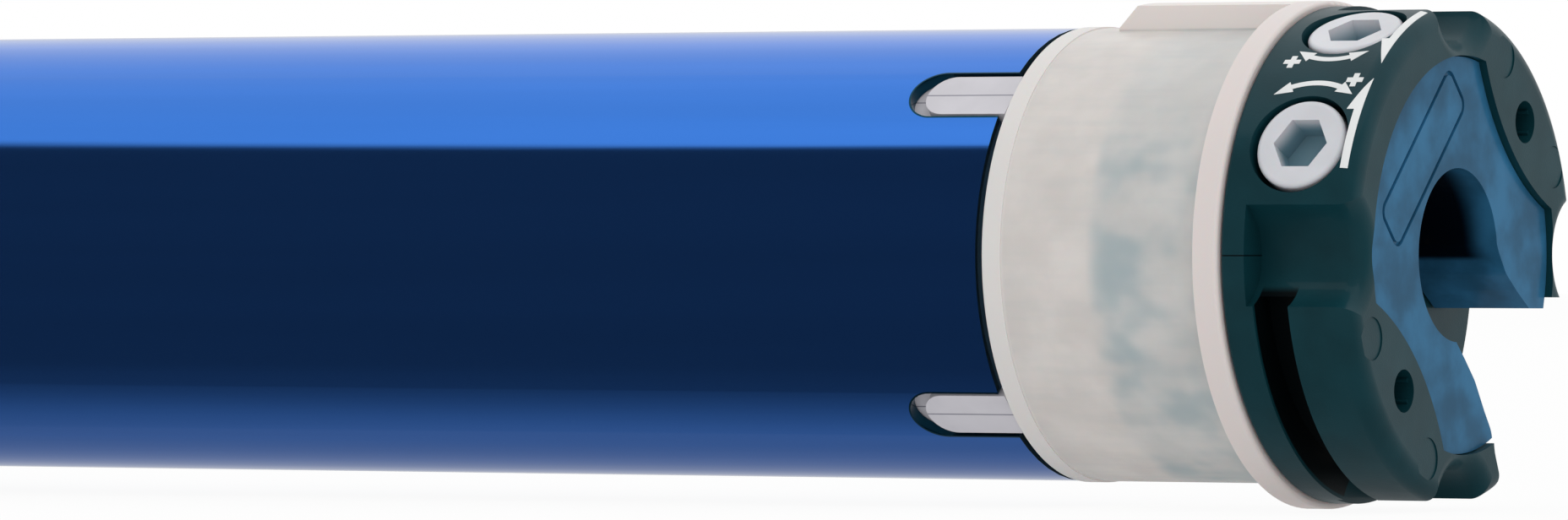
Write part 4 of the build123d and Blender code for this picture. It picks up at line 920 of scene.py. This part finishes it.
@dataclass
class Head:
    """Stationary head: housing, neck plate, blue insert, adjusters, printed marks and screw holes."""

    radius: float = 24.4
    edge_radius: float = 1.9
    adjuster_x: float = -6.9
    adjuster_angles: tuple[float, float] = (114.75, 153.25)
    arc_radii: tuple[float, float] = (6.1, 6.9)
    arc_half_angle: float = 38.0
    arc_width: float = 0.6
    arrow_length: float = 1.9
    arrow_width: float = 1.45
    arrow_inset: float = 0.95
    steps: int = 16
    plus_size: float = 1.75
    plus_places: tuple[Point, ...] = ((-10.8, 129.9), (-3.0, 136.1))
    long_arrow_x: float = -1.5
    long_arrows: tuple[Point, ...] = ((159.8, 135.3), (104.0, 130.2))
    long_arrow_width: float = 0.75
    long_arrow_head: float = 4.0
    long_arrow_barb: float = 0.8
    ink_thickness: float = 0.04
    hole_ring: float = 18.5
    hole_angles: tuple[float, ...] = (45.0, 225.0)
    rib_count: int = 6
    rib_radius: float = 0.28
    rib_length: float = 7.0
    rib_front: float = -0.5
    rib_sides: int = 8
    hole_radius: float = 2.1
    rib_sink: float = 0.02

    def dress(self, frame: Mapping[str, object], shelf: FinishShelf) -> None:
        """Finishes the head's nodes and adds marks and ribs.

        Args:
            frame: The loaded frame.
            shelf: The finishes.
        """
        shelf.dress(frame, {
            "head_housing": "housing_plastic", "neck_plate": "neck_plastic", "head_insert": "insert_plastic",
            "inlet_socket": "black_plastic", "inlet_pins": "brass",
            "adjuster_upper": "button_nylon", "adjuster_lower": "button_nylon",
        })
        self.print_marks(shelf)
        self.rib_holes(shelf)

    def arc_at(self, degrees: float) -> float:
        """Length round the head, in millimetres, of an angle."""
        return math.radians(degrees) * self.radius

    def print_marks(self, shelf: FinishShelf) -> None:
        """Prints the arrows and plus signs on the head's round side.

        Args:
            shelf: The finishes.
        """
        sheet = MarkSheet()
        for angle, turn, radius in zip(self.adjuster_angles, (Turn.BELOW, Turn.ABOVE), self.arc_radii):
            self.curved_arrow(sheet, self.arc_at(angle), turn, radius)
        for x, angle in self.plus_places:
            self.plus(sheet, x, self.arc_at(angle))
        for tail, tip in self.long_arrows:
            self.long_arrow(sheet, self.arc_at(tail), self.arc_at(tip))
        seed = mesh_of("mark_shapes", sheet.points, sheet.faces)
        values = {
            "Radius": self.radius * MM,
            "Edge radius": self.edge_radius * MM,
            "Thickness": self.ink_thickness * MM,
            "Material": shelf.made["print_ink"],
        }
        piece = WrappedPrint().run(seed, values, "adjustment_marks")
        ride(piece, BASE_BODY)

    def curved_arrow(self, sheet: MarkSheet, centre: float, turn: Turn, radius: float) -> None:
        """Draws the double arrow that curves round an adjuster.

        Args:
            sheet: Where it is drawn.
            centre: The adjuster's place round the head.
            turn: On which side of the adjuster it lies.
            radius: Its radius about the adjuster's centre.
        """
        half = math.radians(self.arc_half_angle)
        middle = turn.value * math.pi / 2
        inset = self.arrow_length * self.arrow_inset / radius
        line = []
        for step in range(self.steps + 1):
            angle = middle - half + inset + 2 * (half - inset) * step / self.steps
            line.append(self.on_arc(centre, radius, angle))
        sheet.stroke(line, self.arc_width)
        for sign in (-1, 1):
            tip = self.on_arc(centre, radius, middle + sign * half)
            heading = middle + sign * (half + math.pi / 2 - inset / 2)
            sheet.head(tip, heading, self.arrow_length, self.arrow_width)

    def on_arc(self, centre: float, radius: float, angle: float) -> Point:
        """Point on the circle that an adjuster's arrow follows."""
        return (self.adjuster_x + radius * math.cos(angle), centre + radius * math.sin(angle))

    def plus(self, sheet: MarkSheet, x: float, arc: float) -> None:
        """Draws a plus sign.

        Args:
            sheet: Where it is drawn.
            x: Its place along the axis.
            arc: Its place round the head.
        """
        reach, half = self.plus_size / 2, self.arc_width / 2
        sheet.stroke([(x - reach, arc), (x + reach, arc)], self.arc_width)
        for sign in (-1, 1):
            sheet.stroke([(x, arc + sign * half), (x, arc + sign * reach)], self.arc_width)

    def long_arrow(self, sheet: MarkSheet, tail: float, tip: float) -> None:
        """Draws a long arrow round the head, close to its front edge, with a barb on one side only.

        Args:
            sheet: Where it is drawn.
            tail: Where it starts.
            tip: Where it points.
        """
        way = math.copysign(1.0, tip - tail)
        neck = tip - way * self.long_arrow_head
        line = []
        for step in range(self.steps + 1):
            line.append((self.long_arrow_x, tail + (neck - tail) * step / self.steps))
        sheet.stroke(line, self.long_arrow_width)
        front = self.long_arrow_x + self.long_arrow_width / 2
        back = front - self.long_arrow_width - self.long_arrow_barb
        for step in range(self.steps):
            low, high = step / self.steps, (step + 1) / self.steps
            near, far = neck + (tip - neck) * low, neck + (tip - neck) * high
            near_corner = (back + (front - back) * low, near)
            far_corner = [(back + (front - back) * high, far)] if high < 1 else []
            sheet.add([(front, near), (front, far), *far_corner, near_corner])

    def rib_holes(self, shelf: FinishShelf) -> None:
        """Adds the ribs that a self-tapping screw bites into.

        Args:
            shelf: The finishes.
        """
        middle = (self.rib_front - self.rib_length / 2) * MM
        ring = self.hole_ring * MM
        turns = [math.radians(angle) for angle in self.hole_angles]
        points = [(middle, ring * math.cos(turn), ring * math.sin(turn)) for turn in turns]
        values = {
            "Count": self.rib_count,
            "Ring radius": (self.hole_radius - self.rib_sink) * MM,
            "Bar radius": self.rib_radius * MM,
            "Bar length": self.rib_length * MM,
            "Sides": self.rib_sides,
            "Gap half width": NO_GAP,
            "Material": shelf.made["housing_plastic"],
        }
        piece = RingOfBars().run(mesh_of("hole_points", points), values, "screw_hole_ribs")
        ride(piece, BASE_BODY)


@dataclass
class Crown:
    """Turning crown and the pinion that it drives."""

    def dress(self, frame: Mapping[str, object], shelf: FinishShelf) -> None:
        """Finishes the crown's nodes."""
        shelf.dress(frame, {"crown": "crown_nylon", "pickup_pinion": "brass"})


@dataclass
class TubeBody:
    """Motor tube with the limit unit's keys, the end cap and its screws."""

    def dress(self, frame: Mapping[str, object], shelf: FinishShelf) -> None:
        """Finishes the tube's nodes."""
        shelf.dress(frame, {
            "motor_tube": "tube_lacquer", "limit_chassis": "white_nylon",
            "end_cap": "black_plastic", "tube_screws": "zinc_steel",
        })


@dataclass
class DriveEnd:
    """Output shaft, drive wheel with its grip ribs, and the clip that holds it."""

    rim_radius: float = 23.4
    rib_count: int = 72
    rib_radius: float = 0.3
    rib_inset: float = 1.0
    rib_sides: int = 6
    groove_half_width: float = 4.7

    def dress(self, frame: Mapping[str, object], shelf: FinishShelf) -> None:
        """Finishes the drive end and adds the ribs round the wheel's rim.

        Args:
            frame: The loaded frame.
            shelf: The finishes.
        """
        shelf.dress(frame, {
            "output_carrier": "gear_steel", "drive_wheel": "wheel_plastic", "drive_wheel_clip": "zinc_steel",
        })
        low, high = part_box("drive_wheel")
        values = {
            "Count": self.rib_count,
            "Ring radius": self.rim_radius * MM,
            "Bar radius": self.rib_radius * MM,
            "Bar length": (high.x - low.x) - 2 * self.rib_inset * MM,
            "Sides": self.rib_sides,
            "Gap half width": self.groove_half_width * MM,
            "Material": shelf.made["wheel_plastic"],
        }
        centre = ((low.x + high.x) / 2, 0.0, 0.0)
        piece = RingOfBars().run(mesh_of("wheel_point", [centre]), values, "drive_wheel_ribs")
        ride(piece, "output")


@dataclass
class Windings:
    """Strands of wire on the two ends of the stator's windings."""

    strand_count: int = 96
    strand_radius: float = 0.3
    strand_sides: int = 6
    end_inset: float = 1.6
    sink: float = 0.08

    def dress(self, frame: Mapping[str, object], shelf: FinishShelf) -> None:
        """Adds the strands round both winding ends.

        Args:
            frame: The loaded frame.
            shelf: The finishes.
        """
        low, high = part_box("stator_windings")
        core_low, core_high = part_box("stator_core")
        ends = ((low.x, core_low.x), (core_high.x, high.x))
        centres = [((start + end) / 2, 0.0, 0.0) for start, end in ends]
        values = {
            "Count": self.strand_count,
            "Ring radius": high.z - self.sink * MM,
            "Bar radius": self.strand_radius * MM,
            "Bar length": (core_low.x - low.x) - 2 * self.end_inset * MM,
            "Sides": self.strand_sides,
            "Gap half width": NO_GAP,
            "Material": shelf.made["copper"],
        }
        piece = RingOfBars().run(mesh_of("winding_points", centres), values, "winding_strands")
        ride(piece, BASE_BODY)


@dataclass
class Inside:
    """What the tube holds, finished by the material slots of the record."""

    def dress(self, frame: Mapping[str, object], shelf: FinishShelf) -> None:
        """Gives every inner node the finish that its slot names.

        Args:
            frame: The loaded frame.
            shelf: The finishes.
        """
        slots = {part["node"]: part["material_slot"] for part in frame["record"]["subparts"]}
        shelf.dress(frame, {name: slots[name] for name in frame["nodes"] if name not in shelf.dressed})


def ride(piece: bpy.types.Object, body: str) -> None:
    """Puts a finished piece on its body.

    Args:
        piece: The piece.
        body: The body's name.
    """
    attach(piece, body)
    log.info("piece %s on %s: %d faces", piece.name, body, len(piece.data.polygons))


@dataclass
class Studio:
    """Camera, floor, lamps and a plain soft studio, in which every light is a neutral grey or white."""

    camera_place: Place = (480.95, -955.72, 3.07)
    azimuth: float = 30.27
    elevation: float = 0.19
    lens: float = 251.57
    sensor: float = 36.0
    nearest: float = 0.01
    farthest: float = 100.0
    floor_gap: float = 0.05
    floor_reach: float = 3.0
    paper_level: float = 0.88
    floor_glow: float = 0.35
    camera_glow: float = 0.59
    fill_below: float = 0.61
    fill_above: float = 0.79
    room_level: float = 0.07
    backdrop_below: float = 0.35
    backdrop_above: float = 1.0
    backdrop_rise: Point = (-0.8, 0.6)
    room_edge: Point = (-0.45, 0.35)
    box_level: float = 1.0
    box_foot: Point = (0.70, 0.74)
    box_front: Point = (-0.50, -0.45)
    key_energy: float = 5.0
    key_size: float = 0.9
    key_place: Place = (0.9, -0.9, 1.5)
    rear_place: Place = (-0.9, 1.2, 1.3)
    rear_share: float = 0.6

    def build(self) -> None:
        """Makes the whole studio."""
        self.make_camera()
        self.make_floor()
        self.make_world()
        self.make_lamp("key_lamp", self.key_place, self.key_energy, self.key_size)
        self.make_lamp("rear_lamp", self.rear_place, self.rear_share * self.key_energy, self.key_size)

    def make_camera(self) -> None:
        """Sets the camera where the photograph was taken from."""
        data = bpy.data.cameras.new("camera")
        data.lens = self.lens
        data.sensor_width = self.sensor
        data.sensor_fit = "HORIZONTAL"
        data.clip_start = self.nearest
        data.clip_end = self.farthest
        camera = bpy.data.objects.new("camera", data)
        bpy.context.scene.collection.objects.link(camera)
        turn = math.radians(self.azimuth)
        rise = math.radians(self.elevation)
        back = Vector((math.sin(turn) * math.cos(rise), -math.cos(turn) * math.cos(rise), math.sin(rise)))
        camera.location = Vector(self.camera_place) * MM
        camera.rotation_mode = "QUATERNION"
        camera.rotation_quaternion = (-back).to_track_quat("-Z", "Y")
        bpy.context.scene.camera = camera

    def make_floor(self) -> None:
        """Lays the pale floor just below the object. It keeps a soft shadow and is white to the camera."""
        low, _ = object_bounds()
        level = low.z - self.floor_gap * MM
        far = self.floor_reach
        corners = [(-far, -far, level), (far, -far, level), (far, far, level), (-far, far, level)]
        floor = bpy.data.objects.new("floor", mesh_of("floor", corners, [(0, 1, 2, 3)]))
        bpy.context.scene.collection.objects.link(floor)
        material = bpy.data.materials.new("floor")
        material.use_nodes = True
        graph = NodeGraph(material.node_tree)
        seen = graph.node("ShaderNodeLightPath").outputs["Is Camera Ray"]
        paper = graph.node("ShaderNodeBsdfDiffuse", values={"Color": self.grey(self.paper_level)}).outputs[0]
        white = graph.node("ShaderNodeEmission", values={"Color": self.grey(1.0), "Strength": 1.0}).outputs[0]
        share = Term(graph, seen) * self.camera_glow + self.floor_glow
        mixed = graph.node("ShaderNodeMixShader", values={0: share, 1: paper, 2: white}).outputs[0]
        graph.node("ShaderNodeOutputMaterial", values={"Surface": mixed})
        floor.data.materials.append(material)
        floor.visible_glossy = False
        floor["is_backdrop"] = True

    @staticmethod
    def grey(level: float) -> Color:
        """Neutral light of one level."""
        return (level, level, level)

    def make_world(self) -> None:
        """Even fill light and a white background, and what glossy surfaces mirror.

        They mirror a backdrop behind the object, a dim room on the camera's side and a soft box above. Each
        pair of fields says where on the light's direction one of these starts and where it is full.
        """
        world = bpy.data.worlds.new("studio")
        bpy.context.scene.world = world
        world.use_nodes = True
        graph = NodeGraph(world.node_tree)
        direction = graph.node("ShaderNodeTexCoord").outputs["Generated"]
        _, y, z = graph.split(direction)
        rise = z.step(*self.backdrop_rise)
        backdrop = graph.blend(rise, self.grey(self.backdrop_below), self.grey(self.backdrop_above))
        mirrored = graph.blend(y.step(*self.room_edge), self.grey(self.room_level), backdrop)
        box = z.step(*self.box_foot) * y.step(*self.box_front)
        mirrored = graph.blend(box, mirrored, self.grey(self.box_level))
        fill = graph.blend(z.step(-1.0, 1.0), self.grey(self.fill_below), self.grey(self.fill_above))
        path = graph.node("ShaderNodeLightPath").outputs
        light = graph.blend(path["Is Glossy Ray"], fill, mirrored)
        plain = Term(graph, path["Is Camera Ray"]) + Term(graph, path["Is Transmission Ray"])
        light = graph.blend(plain, light, self.grey(1.0))
        shader = graph.node("ShaderNodeBackground", values={"Color": light, "Strength": 1.0}).outputs[0]
        graph.node("ShaderNodeOutputWorld", values={"Surface": shader})

    @staticmethod
    def make_lamp(name: str, place: Place, energy: float, size: float) -> None:
        """Hangs a soft lamp that points at the object.

        Args:
            name: The lamp's name.
            place: Where it hangs, in metres.
            energy: Its power in watts.
            size: Its width in metres.
        """
        data = bpy.data.lights.new(name, "AREA")
        data.energy = energy
        data.size = size
        lamp = bpy.data.objects.new(name, data)
        bpy.context.scene.collection.objects.link(lamp)
        lamp.location = place
        lamp.rotation_mode = "QUATERNION"
        lamp.rotation_quaternion = (-Vector(place)).to_track_quat("-Z", "Y")
        lamp.visible_glossy = False


def main() -> None:
    """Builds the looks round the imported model."""
    logging.basicConfig(level=logging.INFO, format="%(name)s: %(message)s")
    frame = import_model()
    bpy.context.scene.view_settings.view_transform = "Standard"
    crown_low, crown_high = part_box("crown")
    _, tube_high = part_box("motor_tube")
    head = Head()
    flange_back = crown_high.x - CROWN_FLANGE_WIDTH
    lip_front = crown_low.x + CROWN_LIP_WIDTH
    shelf = FinishShelf(tube_high.x, flange_back, lip_front, head.adjuster_angles)
    shelf.stock()
    for assembly in (head, Crown(), TubeBody(), DriveEnd(), Windings(), Inside()):
        assembly.dress(frame, shelf)
        log.info("sub-assembly %s is done", type(assembly).__name__)
    Studio().build()


if __name__ == "__main__":
    main()
